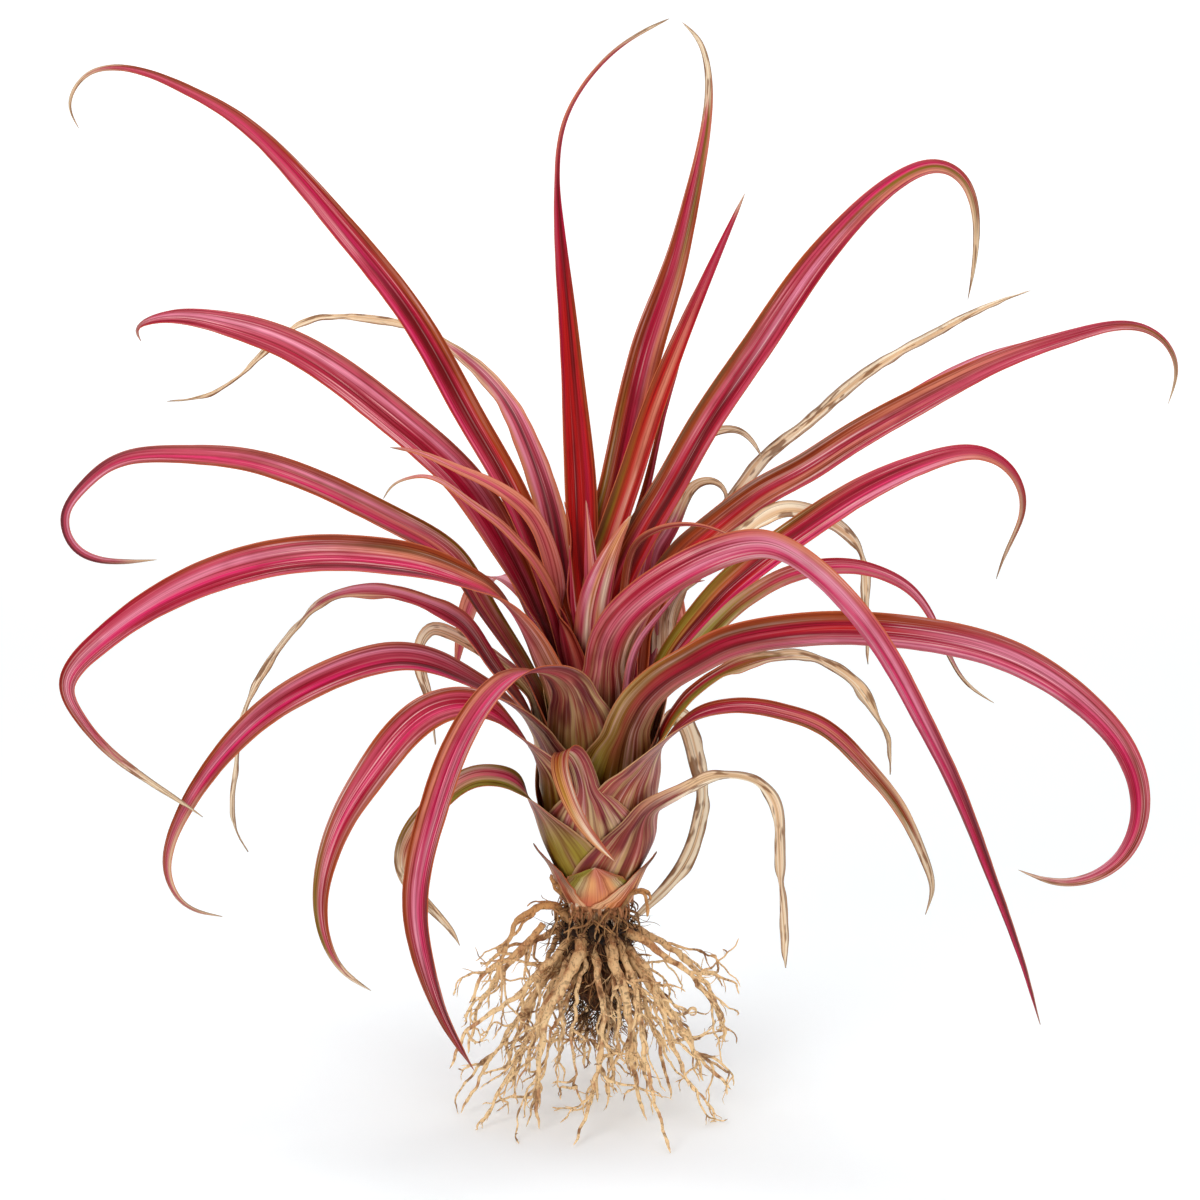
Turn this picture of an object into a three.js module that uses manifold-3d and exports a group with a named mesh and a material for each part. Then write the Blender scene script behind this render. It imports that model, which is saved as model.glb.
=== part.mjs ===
// Ornamental pineapple, a bare-root bromeliad standing on its own roots.
// Millimetres, +Z up. The origin is on the ground under the stem, and the far side of the plant is +Y.
import * as THREE from 'three';
import { mergeVertices } from 'three/addons/utils/BufferGeometryUtils.js';
import Module from 'manifold-3d';

const wasm = await Module();
wasm.setup();

// Stem: a cone that carries every sheath, its foot cut in a shoulder
const STEM = { foot: 112, top: 262, cap: 264, footRadius: 23, topRadius: 4, shoulder: 4, sides: 16 };

// Leaves: each one is seated on the stem, climbs in the vase and then bends out on its own path
const SEAT_GAP = 0.45;
const BLADE_THICKNESS = 1.0;
const HIGHEST_SEAT = 255;
const SEAT_STEP = 2.95;
const VASE_FLARE = 0.25;
const CLIMB_SHARES = [0, 0.35, 0.7, 1];
const SHEATH_RELEASE = 12;
const LEAN_SHARES = [0.12, 0.4];
const CENTRED_SHARE = 0.5;
const WIDEST_WRAP = 1.1;
const CHANNEL_ANGLE = 0.55;
const TIP_CHANNEL_ANGLE = 0.25;
const STEPS_PER_POINT = 1.1;
const FRAME_SUBSTEPS = 6;
const WIDE_SHEATH = 12.5;
const COLUMNS = { wide: 4, narrow: 2 };

// Widths along a leaf, as shares of its widest blade
const FORMS = {
  strap: [[0, 0.8], [0.12, 1.12], [0.28, 1.0], [0.55, 1.0], [0.78, 0.85], [0.9, 0.5], [1, 0.06]],
  whip: [[0, 0.8], [0.12, 1.12], [0.28, 1.0], [0.55, 0.93], [0.72, 0.63], [0.85, 0.36], [1, 0.06]],
  crest: [
    [0, 0.5], [0.12, 0.8], [0.25, 1.0], [0.45, 0.66], [0.55, 0.5], [0.63, 0.34], [0.71, 0.16], [1, 0.1],
  ],
  bow: [[0, 0.5], [0.12, 0.8], [0.25, 1.0], [0.5, 0.95], [0.7, 0.55], [0.8, 0.36], [0.88, 0.24], [1, 0.1]],
  spear: [[0, 0.65], [0.2, 1.0], [0.55, 0.8], [0.8, 0.42], [1, 0.08]],
  sheathed: [[0, 2.0], [0.18, 2.3], [0.3, 1.3], [0.42, 1.0], [0.7, 0.85], [0.9, 0.5], [1, 0.1]],
  wilted: [[0, 3.6], [0.2, 3.4], [0.32, 1.5], [0.42, 1.0], [0.7, 0.9], [0.92, 0.6], [1, 0.15]],
  tailed: [[0, 1.0], [0.15, 1.1], [0.35, 0.95], [0.5, 0.6], [0.62, 0.32], [0.85, 0.25], [1, 0.08]],
  scale: [[0, 1.0], [0.3, 1.0], [0.6, 0.66], [0.85, 0.28], [1, 0.08]],
};

// Finishes of the living and the dry tissue
const FINISHES = {
  crimson: { color: 0xa3173a, roughness: 0.45 },
  pink: { color: 0xbd3158, roughness: 0.45 },
  scarlet: { color: 0xa81a1f, roughness: 0.45 },
  salmon: { color: 0xc07a62, roughness: 0.55 },
  olive: { color: 0x8c7c35, roughness: 0.5 },
  mauve: { color: 0x8a5a60, roughness: 0.55 },
  tan: { color: 0xcbb083, roughness: 0.75 },
  bark: { color: 0x8a6a48, roughness: 0.85 },
  root: { color: 0xb98e5d, roughness: 0.85 },
};

// Leaves from the centre outwards. heading is the side of the stem, rank counts seats down from the top,
// rise is the height climbed in the vase, lean turns the face of the blade, and path is the free blade.
const LEAVES = [
  { name: 'leaf_heart_spear_back', finish: 'scarlet', form: 'spear',
    heading: 165, rank: 1, rise: 40, width: 8,
    path: [[-14, 10, 321], [-18, 12, 343]] },
  { name: 'leaf_heart_spear_right', finish: 'scarlet', form: 'spear',
    heading: 20, rank: 0, rise: 40, width: 8,
    path: [[6, 5, 322], [-2, 6, 343]] },
  { name: 'leaf_heart_spear_left', finish: 'scarlet', form: 'spear',
    heading: 215, rank: 2, rise: 35, width: 7,
    path: [[-14, -9, 305], [-15, -10, 322]] },
  { name: 'leaf_crest_left', finish: 'scarlet', form: 'crest',
    heading: 112, rank: 3, rise: 50, width: 20,
    path: [[-9, 28, 340], [-12, 36, 386], [-16, 42, 436], [-20, 46, 479], [-22, 50, 512], [-20, 52, 541],
      [-10, 54, 565], [13, 56, 590], [40, 58, 605]] },
  { name: 'leaf_centre_spear', finish: 'scarlet', form: 'spear',
    heading: 62, rank: 5, rise: 50, width: 15,
    path: [[12, 20, 337], [20, 26, 360], [29, 32, 387], [43, 38, 423], [57, 43, 455], [71, 47, 486],
      [82, 50, 510]] },
  { name: 'leaf_crest_right', finish: 'crimson', form: 'bow',
    heading: 78, rank: 9, rise: 55, width: 20,
    path: [[10, 36, 342], [17, 44, 378], [29, 52, 427], [42, 58, 465], [52, 63, 503], [60, 66, 542],
      [62, 66, 571], [57, 65, 592], [47, 63, 603]] },
  { name: 'leaf_heart_peach', finish: 'salmon', form: 'spear',
    heading: 258, rank: 6, rise: 42, width: 13,
    path: [[-1, -22, 300], [5, -22, 315], [12, -21, 329], [19, -20, 341]] },
  { name: 'leaf_heart_curl', finish: 'salmon', form: 'spear',
    heading: 320, rank: 4, rise: 45, width: 8,
    path: [[19, -9, 318], [30, -7, 329], [46, -6, 333], [62, -5, 331], [74, -5, 326]] },
  { name: 'leaf_salmon_upper', finish: 'salmon', form: 'spear',
    heading: 192, rank: 7, rise: 50, width: 12, lean: -20,
    path: [[-28, -2, 325], [-43, 0, 344], [-60, 2, 355], [-78, 3, 363], [-97, 4, 371], [-113, 4, 374]] },
  { name: 'leaf_right_crest', finish: 'crimson', form: 'whip',
    heading: 40, rank: 12, rise: 64, width: 23, lean: 12,
    path: [[30, 24, 332], [43, 32, 354], [60, 42, 384], [88, 56, 428], [114, 68, 466], [140, 78, 496],
      [166, 85, 516], [189, 90, 525], [204, 92, 519], [212, 92, 502], [215, 90, 476], [211, 88, 449]] },
  { name: 'leaf_salmon_lower', finish: 'salmon', form: 'spear',
    heading: 222, rank: 11, rise: 52, width: 10, lean: -20,
    path: [[-27, -16, 305], [-40, -15, 321], [-53, -14, 334], [-69, -13, 346], [-81, -12, 355],
      [-92, -12, 360], [-103, -12, 359], [-111, -12, 355], [-116, -12, 348]] },
  { name: 'leaf_left_crest', finish: 'crimson', form: 'whip',
    heading: 146, rank: 13, rise: 66, width: 22, lean: -12,
    path: [[-45, 20, 342], [-68, 35, 385], [-88, 50, 423], [-110, 62, 455], [-150, 78, 495], [-196, 92, 543],
      [-231, 100, 566], [-262, 104, 576], [-287, 104, 573], [-299, 102, 558], [-294, 100, 544]] },
  { name: 'leaf_back_upright', finish: 'crimson', form: 'spear',
    heading: 98, rank: 14, rise: 66, width: 14,
    path: [[-8, 45, 320], [-12, 66, 355], [-15, 90, 385], [-18, 112, 400], [-20, 132, 398],
      [-22, 150, 380]] },
  { name: 'leaf_left_second', finish: 'crimson', form: 'whip',
    heading: 168, rank: 17, rise: 70, width: 25, lean: -42,
    path: [[-51, 15, 318], [-75, 25, 354], [-108, 35, 384], [-141, 45, 407], [-174, 52, 427], [-211, 58, 440],
      [-242, 62, 442], [-258, 62, 435], [-256, 60, 428]] },
  { name: 'leaf_olive_front', finish: 'olive', form: 'spear',
    heading: 302, rank: 18, rise: 50, width: 13,
    path: [[22, -27, 283], [31, -30, 296], [45, -33, 304], [58, -36, 307]] },
  { name: 'leaf_back_short', finish: 'olive', form: 'spear',
    heading: 76, rank: 18, rise: 66, width: 8,
    path: [[17, 44, 310], [27, 52, 342], [36, 60, 379], [47, 66, 415]] },
  { name: 'leaf_back_left_bow', finish: 'pink', form: 'tailed',
    heading: 120, rank: 20, rise: 66, width: 17,
    path: [[-23, 42, 316], [-31, 56, 346], [-46, 76, 381], [-62, 92, 402], [-83, 108, 418], [-110, 122, 430],
      [-141, 134, 434], [-168, 142, 432], [-192, 146, 417], [-213, 148, 397], [-234, 150, 386],
      [-255, 150, 383]] },
  { name: 'leaf_back_bow', finish: 'salmon', form: 'spear',
    heading: 60, rank: 21, rise: 72, width: 8,
    path: [[30, 50, 326], [45, 59, 353], [59, 65, 371], [71, 68, 376], [81, 70, 375], [89, 70, 368],
      [94, 70, 359]] },
  { name: 'leaf_far_right_upper', finish: 'crimson', form: 'strap',
    heading: 66, rank: 25, rise: 70, width: 15,
    path: [[20, 50, 290], [35, 82, 334], [54, 110, 361], [75, 128, 393], [99, 148, 427], [123, 166, 460],
      [145, 182, 485], [162, 192, 500]] },
  { name: 'leaf_far_left_upper', finish: 'crimson', form: 'strap',
    heading: 130, rank: 22, rise: 72, width: 15,
    path: [[-41, 58, 318], [-56, 85, 351], [-74, 115, 381], [-94, 140, 414], [-118, 160, 450],
      [-147, 178, 481],
      [-175, 190, 510]] },
  { name: 'leaf_right_second', finish: 'crimson', form: 'whip',
    heading: 30, rank: 23, rise: 82, width: 23, lean: 25,
    path: [[44, 34, 306], [60, 42, 319], [92, 56, 341], [116, 66, 353], [145, 78, 370], [187, 90, 393],
      [233, 100, 415], [274, 108, 426], [306, 112, 429], [325, 112, 422], [334, 110, 407], [330, 108, 386]] },
  { name: 'leaf_front_right', finish: 'pink', form: 'whip',
    heading: 277, rank: 22, rise: 70, width: 26,
    path: [[6, -46, 278], [12, -54, 289], [28, -64, 305], [47, -73, 319], [68, -82, 330], [89, -90, 334],
      [106, -97, 327], [124, -103, 312], [147, -110, 283], [166, -116, 248], [183, -122, 213],
      [201, -127, 169], [217, -131, 127], [229, -134, 90]] },
  { name: 'leaf_left_fourth', finish: 'pink', form: 'whip',
    heading: 214, rank: 24, rise: 68, width: 27, lean: -48,
    path: [[-45, -25, 291], [-66, -35, 306], [-90, -42, 316], [-117, -50, 322], [-149, -58, 324],
      [-190, -66, 317], [-230, -72, 299], [-260, -76, 278], [-277, -78, 259], [-271, -78, 241],
      [-255, -84, 220], [-219, -101, 199], [-207, -106, 192]] },
  { name: 'leaf_back_centre', finish: 'crimson', form: 'whip',
    heading: 94, rank: 27.5, rise: 84, width: 23,
    path: [[-2, 60, 292], [-6, 100, 314], [-8, 140, 314], [-10, 180, 290], [-10, 210, 248], [-8, 228, 200],
      [-6, 238, 150]] },
  { name: 'leaf_right_third', finish: 'crimson', form: 'whip',
    heading: 8, rank: 26, rise: 62, width: 25, lean: 35,
    path: [[39, 8, 258], [52, 12, 272], [64, 16, 285], [79, 20, 299], [99, 24, 314], [119, 28, 327],
      [150, 34, 345], [187, 38, 360], [215, 40, 364], [233, 40, 353], [238, 38, 334], [232, 36, 313],
      [225, 34, 296]] },
  { name: 'leaf_mauve_narrow', finish: 'mauve', form: 'spear',
    heading: 300, rank: 28, rise: 62, width: 8,
    path: [[20, -36, 267], [31, -40, 286], [42, -42, 300], [52, -44, 312]] },
  { name: 'leaf_left_third', finish: 'pink', form: 'whip',
    heading: 168, rank: 29, rise: 72, width: 20, lean: -35,
    path: [[-45, 9, 258], [-64, 15, 286], [-80, 20, 313], [-109, 25, 333], [-148, 30, 352], [-193, 32, 367],
      [-232, 32, 370], [-266, 30, 365], [-288, 28, 349], [-298, 25, 333], [-293, 20, 317], [-276, 14, 309],
      [-242, 5, 311]] },
  { name: 'leaf_back_right', finish: 'crimson', form: 'strap',
    heading: 80, rank: 30, rise: 84, width: 18,
    path: [[13, 60, 268], [26, 100, 286], [38, 135, 280], [48, 163, 252], [54, 178, 212]] },
  { name: 'leaf_back_left', finish: 'crimson', form: 'strap',
    heading: 116, rank: 32, rise: 84, width: 18,
    path: [[-28, 60, 268], [-50, 100, 284], [-68, 140, 276], [-80, 168, 248], [-87, 182, 212]] },
  { name: 'leaf_back_curl', finish: 'salmon', form: 'spear',
    heading: 42, rank: 28, rise: 78, width: 8,
    path: [[31, 44, 304], [42, 49, 324], [53, 55, 344], [64, 59, 348], [71, 61, 344], [73, 62, 337],
      [67, 63, 332]] },
  { name: 'leaf_far_left_lower', finish: 'pink', form: 'strap',
    heading: 140, rank: 26, rise: 78, width: 15,
    path: [[-48, 55, 298], [-67, 85, 330], [-98, 120, 355], [-135, 150, 381], [-172, 172, 401],
      [-210, 190, 416]] },
  { name: 'leaf_far_right_lower', finish: 'crimson', form: 'strap',
    heading: 56, rank: 33, rise: 84, width: 15,
    path: [[42, 78, 298], [78, 110, 320], [108, 135, 336], [145, 160, 359], [186, 180, 381], [226, 195, 402],
      [263, 205, 414]] },
  { name: 'leaf_dry_right_bow', finish: 'tan', form: 'sheathed',
    heading: 21, rank: 34, rise: 84, width: 8,
    path: [[38, 32, 275], [48, 36, 293], [64, 36, 307], [79, 38, 319], [87, 40, 325], [101, 43, 333],
      [116, 46, 333], [133, 50, 325], [147, 54, 312], [152, 56, 294], [153, 58, 274], [155, 60, 242]] },
  { name: 'leaf_dry_straight', finish: 'tan', form: 'sheathed',
    heading: 43, rank: 36.5, rise: 90, width: 7,
    path: [[53, 60, 301], [80, 80, 338], [97, 92, 358], [118, 102, 373], [154, 120, 401], [195, 138, 423],
      [227, 150, 438], [257, 160, 448]] },
  { name: 'leaf_front_left', finish: 'pink', form: 'strap',
    heading: 252, rank: 30, rise: 80, width: 26,
    path: [[-24, -62, 264], [-44, -85, 265], [-62, -105, 250], [-74, -120, 230], [-82, -132, 208],
      [-89, -140, 182], [-91, -146, 155], [-86, -150, 127], [-76, -152, 99], [-62, -154, 72]] },
  { name: 'leaf_olive_arch', finish: 'olive', form: 'whip',
    heading: 354, rank: 30, rise: 76, width: 13, lean: 30,
    path: [[46, -6, 255], [69, -8, 281], [83, -10, 293], [103, -12, 305], [131, -14, 311], [149, -15, 309],
      [167, -15, 301], [180, -15, 287], [191, -15, 265], [202, -15, 247], [218, -14, 235]] },
  { name: 'leaf_right_arch', finish: 'crimson', form: 'whip',
    heading: 298, rank: 33, rise: 66, width: 25, lean: -12,
    path: [[26, -42, 247], [48, -47, 262], [69, -51, 274], [96, -55, 281], [125, -58, 284], [157, -60, 283],
      [194, -62, 277], [226, -63, 265], [255, -64, 244], [278, -64, 218], [288, -64, 190], [283, -64, 165],
      [269, -64, 150], [248, -65, 146], [226, -66, 153]] },
  { name: 'leaf_left_fifth', finish: 'pink', form: 'tailed',
    heading: 184, rank: 33, rise: 66, width: 17, lean: -35,
    path: [[-53, 0, 246], [-62, -3, 262], [-75, -5, 279], [-97, -8, 291], [-119, -12, 297], [-147, -15, 293],
      [-163, -18, 279], [-180, -20, 257], [-194, -22, 227], [-198, -22, 199], [-200, -22, 171],
      [-192, -22, 153]] },
  { name: 'leaf_left_sixth', finish: 'pink', form: 'whip',
    heading: 216, rank: 35, rise: 66, width: 24, lean: -42,
    path: [[-42, -28, 237], [-60, -37, 249], [-80, -46, 261], [-106, -58, 269], [-142, -70, 261],
      [-176, -78, 242], [-202, -82, 215], [-219, -86, 187], [-225, -88, 161], [-216, -88, 143],
      [-198, -88, 136]] },
  { name: 'leaf_dry_left_curl', finish: 'tan', form: 'sheathed',
    heading: 158, rank: 36, rise: 86, width: 7,
    path: [[-65, 18, 259], [-82, 20, 268], [-92, 20, 270], [-98, 20, 263], [-99, 20, 248], [-94, 20, 230],
      [-91, 20, 204]] },
  { name: 'leaf_gold_arch', finish: 'olive', form: 'sheathed',
    heading: 336, rank: 37, rise: 62, width: 12, lean: 25,
    path: [[46, -17, 234], [63, -19, 250], [81, -21, 259], [100, -23, 263], [115, -24, 263], [129, -25, 257],
      [143, -26, 246], [152, -27, 231], [159, -28, 216], [160, -28, 198]] },
  { name: 'leaf_dry_right_loop', finish: 'tan', form: 'sheathed',
    heading: 30, rank: 39, rise: 74, width: 8,
    path: [[48, 34, 216], [59, 38, 193], [62, 38, 174], [59, 36, 152], [52, 32, 129], [41, 26, 113],
      [28, 20, 104]] },
  { name: 'leaf_left_seventh', finish: 'pink', form: 'whip',
    heading: 232, rank: 39, rise: 58, width: 24, lean: -48,
    path: [[-38, -46, 222], [-49, -60, 236], [-63, -71, 246], [-82, -82, 247], [-100, -91, 237],
      [-119, -99, 215], [-135, -102, 191], [-145, -107, 165], [-147, -110, 139], [-137, -112, 115],
      [-120, -112, 103]] },
  { name: 'leaf_right_mid_arch', finish: 'olive', form: 'sheathed',
    heading: 302, rank: 41, rise: 60, width: 15, lean: -15,
    path: [[33, -50, 220], [44, -59, 230], [57, -67, 238], [78, -76, 243], [97, -83, 241], [117, -90, 231],
      [140, -95, 218], [159, -99, 198], [173, -102, 171], [178, -103, 154], [175, -104, 140]] },
  { name: 'leaf_front_fold', finish: 'salmon', form: 'sheathed',
    heading: 262, rank: 43, rise: 66, width: 12,
    path: [[-10, -46, 218], [-14, -54, 222], [-15, -61, 214], [-12, -64, 198], [-5, -65, 181], [3, -64, 168],
      [11, -62, 158]] },
  { name: 'leaf_back_right_low', finish: 'olive', form: 'sheathed',
    heading: 50, rank: 42, rise: 76, width: 11,
    path: [[40, 48, 226], [51, 66, 238], [58, 84, 232], [60, 96, 212]] },
  { name: 'leaf_back_left_low', finish: 'olive', form: 'sheathed',
    heading: 134, rank: 42, rise: 76, width: 11,
    path: [[-38, 48, 225], [-48, 68, 235], [-52, 86, 226], [-52, 97, 206]] },
  { name: 'leaf_dry_back', finish: 'tan', form: 'sheathed',
    heading: 90, rank: 44, rise: 76, width: 9,
    path: [[4, 56, 216], [8, 76, 208], [10, 90, 178], [8, 94, 142]] },
  { name: 'leaf_left_lowest', finish: 'olive', form: 'sheathed',
    heading: 204, rank: 45, rise: 60, width: 12, lean: -25,
    path: [[-51, -30, 200], [-66, -34, 198], [-85, -38, 184], [-100, -40, 167], [-104, -40, 147],
      [-92, -38, 128], [-79, -36, 112], [-74, -36, 103]] },
  { name: 'leaf_dry_right_lowest', finish: 'tan', form: 'wilted',
    heading: 318, rank: 46, rise: 56, width: 7, lean: -15,
    path: [[48, -41, 193], [61, -45, 199], [78, -49, 201], [90, -52, 196], [96, -54, 184], [97, -55, 166],
      [98, -56, 144], [100, -57, 121], [101, -58, 96]] },
];

// Basal scales: a ring of short pointed scales below the lowest sheaths
const SCALES = [
  { name: 'basal_scale_front', heading: 266, rise: 27, width: 27 },
  { name: 'basal_scale_left', heading: 196, rise: 32, width: 27 },
  { name: 'basal_scale_right', heading: 336, rise: 30, width: 27 },
  { name: 'basal_scale_back_right', heading: 51, rise: 26, width: 27 },
  { name: 'basal_scale_back_left', heading: 124, rise: 28, width: 27 },
];
const SCALE_SEAT = 115;
const SCALE_FLARE = 0.3;
const SCALE_SPUR = 2;
const SCALE_STEPS = 5;
const SCALE_LEAST_WRAP = 0.1;

// Roots: the thick ones by their paths, those that end below the ground plane are cut flat by it
const ROOT_CORE_SIDES = 12;
const ROOT_CORE = [
  [0, 111.6], [18, 111.6], [21, 107], [19, 99], [15, 88], [17, 76], [18, 62], [13, 48], [0, 42],
];
const ROOT_RADII = { start: 3.4, end: 1.7, knob: 0.16 };
const ROOTLET_RADII = { start: 1.35, end: 0.75, knob: 0.12 };
const ROOT_SIDES = 6;
const ROOTLET_SIDES = 4;
const ROOTLETS_PER_ROOT = 2;
const ROOTLET_SHARES = [0.3, 0.9];
const ROOTLET_LENGTH = [12, 24];
const ROOTLET_SPREAD = 1.8;
const ROOTLET_BEND = 0.5;
const ROOTLET_FALL = [0.25, 0.85];
const ROOTLET_POINTS = [0, 0.33, 0.66, 1];
const ROOTLET_FLOOR = 1.5;
const ROOT_SEED = 20260;
const GROUND_BLOCK = { side: 400, depth: 40 };
const WELD_DISTANCE = 1e-4;
const FOOT_ROOT = {
  path: [[0, 0, 100], [3, -3, 70], [2, 2, 36], [0, 0, 12], [0, 0, -4]],
  radii: { start: 4.4, end: 4.4, knob: 0.16 },
  sides: 8,
};
const THICK_ROOTS = [
  [[-12, -4, 106], [-30, -8, 108], [-42, -10, 98], [-49, -11, 88], [-53, -11, 76]],
  [[-30, -8, 108], [-45, -10, 92], [-63, -12, 80], [-71, -13, 63]],
  [[-12, -10, 102], [-32, -20, 84], [-50, -28, 68], [-70, -34, 56], [-81, -37, 34]],
  [[-8, -14, 104], [-11, -22, 92], [-19, -28, 78], [-27, -32, 64], [-31, -37, 44], [-33, -42, 20],
    [-32, -44, -4]],
  [[-2, -14, 100], [0, -25, 86], [3, -32, 70], [3, -37, 52], [0, -44, 34], [-6, -58, 14], [-13, -72, -4]],
  [[6, -14, 106], [9, -23, 92], [14, -28, 78], [18, -30, 60], [19, -33, 40], [23, -34, 18], [27, -30, -4]],
  [[10, -12, 102], [20, -26, 80], [25, -38, 52], [31, -57, 24], [40, -82, -4]],
  [[12, -8, 106], [28, -12, 98], [43, -16, 88], [56, -18, 78], [65, -18, 65]],
  [[14, -8, 98], [26, -18, 80], [42, -26, 58], [57, -32, 38], [74, -36, 22]],
  [[14, 0, 98], [28, -4, 78], [43, -8, 56], [54, -12, 38], [59, -14, 18]],
  [[10, 4, 98], [22, 7, 70], [34, 8, 36], [42, 6, -4]],
  [[-10, -10, 98], [-28, -22, 66], [-46, -32, 34], [-64, -38, -4]],
  [[-12, -2, 98], [-34, -8, 68], [-58, -14, 34], [-76, -18, -4]],
  [[-14, 8, 104], [-34, 16, 92], [-54, 22, 72], [-68, 26, 48], [-74, 28, 20]],
  [[-10, 12, 100], [-26, 26, 74], [-42, 38, 40], [-54, 46, -4]],
  [[-4, 14, 104], [-12, 32, 90], [-22, 50, 68], [-30, 62, 36], [-34, 68, 10]],
  [[0, 14, 100], [-2, 30, 70], [-6, 46, 34], [-8, 58, -4]],
  [[4, 14, 104], [14, 34, 88], [22, 52, 62], [26, 66, 34], [28, 72, 12]],
  [[10, 12, 100], [26, 26, 72], [40, 38, 36], [50, 48, -4]],
  [[14, 8, 104], [34, 16, 92], [54, 24, 74], [68, 30, 50], [74, 32, 26]],
];

const radians = THREE.MathUtils.degToRad;

// Radius of the stem at a height
function stemRadius(z) {
  const share = (z - STEM.foot) / (STEM.top - STEM.foot);
  return THREE.MathUtils.lerp(STEM.footRadius, STEM.topRadius, share);
}

// Point beside the stem, at a heading in degrees
function around(heading, radius, z) {
  return new THREE.Vector3(radius * Math.cos(radians(heading)), radius * Math.sin(radians(heading)), z);
}

// Value between the knots of a list of [share, value], eased so that it has no corners
function along(knots, share) {
  const next = Math.max(1, knots.findIndex(([at]) => at >= share));
  const [from, low] = knots[next - 1];
  const [to, high] = knots[next];
  return THREE.MathUtils.lerp(low, high, THREE.MathUtils.smoothstep(share, from, to));
}

// Places along a leaf: point, tangent, outward normal and share of the length, with the least possible twist
function leafFrames(points, heading, lean, steps) {
  const curve = new THREE.CatmullRomCurve3(points, false, 'centripetal');
  const count = steps * FRAME_SUBSTEPS;
  const places = Array.from({ length: count + 1 }, (_, i) => ({
    point: curve.getPoint(i / count),
    tangent: curve.getTangent(i / count),
    length: 0,
  }));
  places[0].normal = around(heading, 1, 0).projectOnPlane(places[0].tangent).normalize();
  for (let i = 1; i <= count; i++) {
    const before = places[i - 1];
    const here = places[i];
    const turn = new THREE.Quaternion().setFromUnitVectors(before.tangent, here.tangent);
    here.normal = before.normal.clone().applyQuaternion(turn).projectOnPlane(here.tangent).normalize();
    here.length = before.length + here.point.distanceTo(before.point);
  }
  const total = places[count].length;
  return places.filter((_, i) => i % FRAME_SUBSTEPS === 0).map((place) => {
    const share = place.length / total;
    const turn = radians(lean) * THREE.MathUtils.smoothstep(share, ...LEAN_SHARES);
    return { ...place, share, normal: place.normal.clone().applyAxisAngle(place.tangent, turn) };
  });
}

// Points of one face of a leaf across its width: an arc, raised at both margins
function faceRow(frame, { halfWidth, angle, centred }, offset, columns) {
  const across = new THREE.Vector3().crossVectors(frame.tangent, frame.normal);
  const radius = halfWidth / angle;
  const lift = (centred / 2) * radius * (1 - Math.cos(angle));
  return Array.from({ length: columns + 1 }, (_, j) => {
    const turn = angle * ((2 * j) / columns - 1);
    return frame.point.clone()
      .addScaledVector(across, (radius + offset) * Math.sin(turn))
      .addScaledVector(frame.normal, (radius + offset) * Math.cos(turn) - radius + lift);
  });
}

// Closed blade between two faces, split into triangles alike on both
function bladeGeometry(frames, sizeAt, columns) {
  const positions = [];
  const rows = frames.map((frame) => {
    const section = sizeAt(frame);
    return {
      outer: faceRow(frame, section, BLADE_THICKNESS / 2, columns),
      inner: faceRow(frame, section, -BLADE_THICKNESS / 2, columns),
    };
  });
  const triangle = (a, b, c) => [a, c, b].forEach((p) => positions.push(p.x, p.y, p.z));
  const quad = (a, b, c, d) => {
    triangle(a, b, c);
    triangle(a, c, d);
  };
  for (let i = 0; i + 1 < rows.length; i++) {
    const here = rows[i];
    const next = rows[i + 1];
    for (let j = 0; j < columns; j++) {
      quad(here.outer[j], next.outer[j], next.outer[j + 1], here.outer[j + 1]);
      triangle(here.inner[j], next.inner[j + 1], next.inner[j]);
      triangle(here.inner[j], here.inner[j + 1], next.inner[j + 1]);
    }
    quad(here.outer[0], here.inner[0], next.inner[0], next.outer[0]);
    quad(here.outer[columns], next.outer[columns], next.inner[columns], here.inner[columns]);
  }
  const first = rows[0];
  const last = rows[rows.length - 1];
  for (let j = 0; j < columns; j++) {
    quad(first.outer[j], first.outer[j + 1], first.inner[j + 1], first.inner[j]);
    quad(last.outer[j], last.inner[j], last.inner[j + 1], last.outer[j + 1]);
  }
  const geometry = new THREE.BufferGeometry();
  geometry.setAttribute('position', new THREE.Float32BufferAttribute(positions, 3));
  return geometry;
}

// Leaf: its sheath lies on a cone shell of the vase, one shell further out for each seat down
function leafGeometry(leaf) {
  const seat = HIGHEST_SEAT - SEAT_STEP * leaf.rank;
  const seatRadius = stemRadius(seat) + SEAT_GAP + BLADE_THICKNESS / 2;
  const climb = CLIMB_SHARES.map((share) => {
    const height = share * leaf.rise;
    return around(leaf.heading, seatRadius + VASE_FLARE * height, seat + height);
  });
  const points = [...climb, ...leaf.path.map((p) => new THREE.Vector3(...p))];
  const steps = Math.round(STEPS_PER_POINT * (points.length - 1));
  const frames = leafFrames(points, leaf.heading, leaf.lean ?? 0, steps);
  const sheathTop = seat + leaf.rise;
  const sizeAt = ({ point, share }) => {
    const halfWidth = (leaf.width / 2) * along(FORMS[leaf.form], share);
    const wrap = halfWidth / Math.hypot(point.x, point.y);
    const open = THREE.MathUtils.lerp(CHANNEL_ANGLE, TIP_CHANNEL_ANGLE, share);
    const freed = THREE.MathUtils.smoothstep(point.z, sheathTop - SHEATH_RELEASE, sheathTop + SHEATH_RELEASE);
    const centred = share > CENTRED_SHARE ? 1 : freed;
    const angle = THREE.MathUtils.lerp(Math.min(wrap, WIDEST_WRAP), open, centred);
    return { halfWidth, angle, centred };
  };
  const sheathWidth = leaf.width * FORMS[leaf.form][1][1];
  return bladeGeometry(frames, sizeAt, sheathWidth > WIDE_SHEATH ? COLUMNS.wide : COLUMNS.narrow);
}

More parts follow.
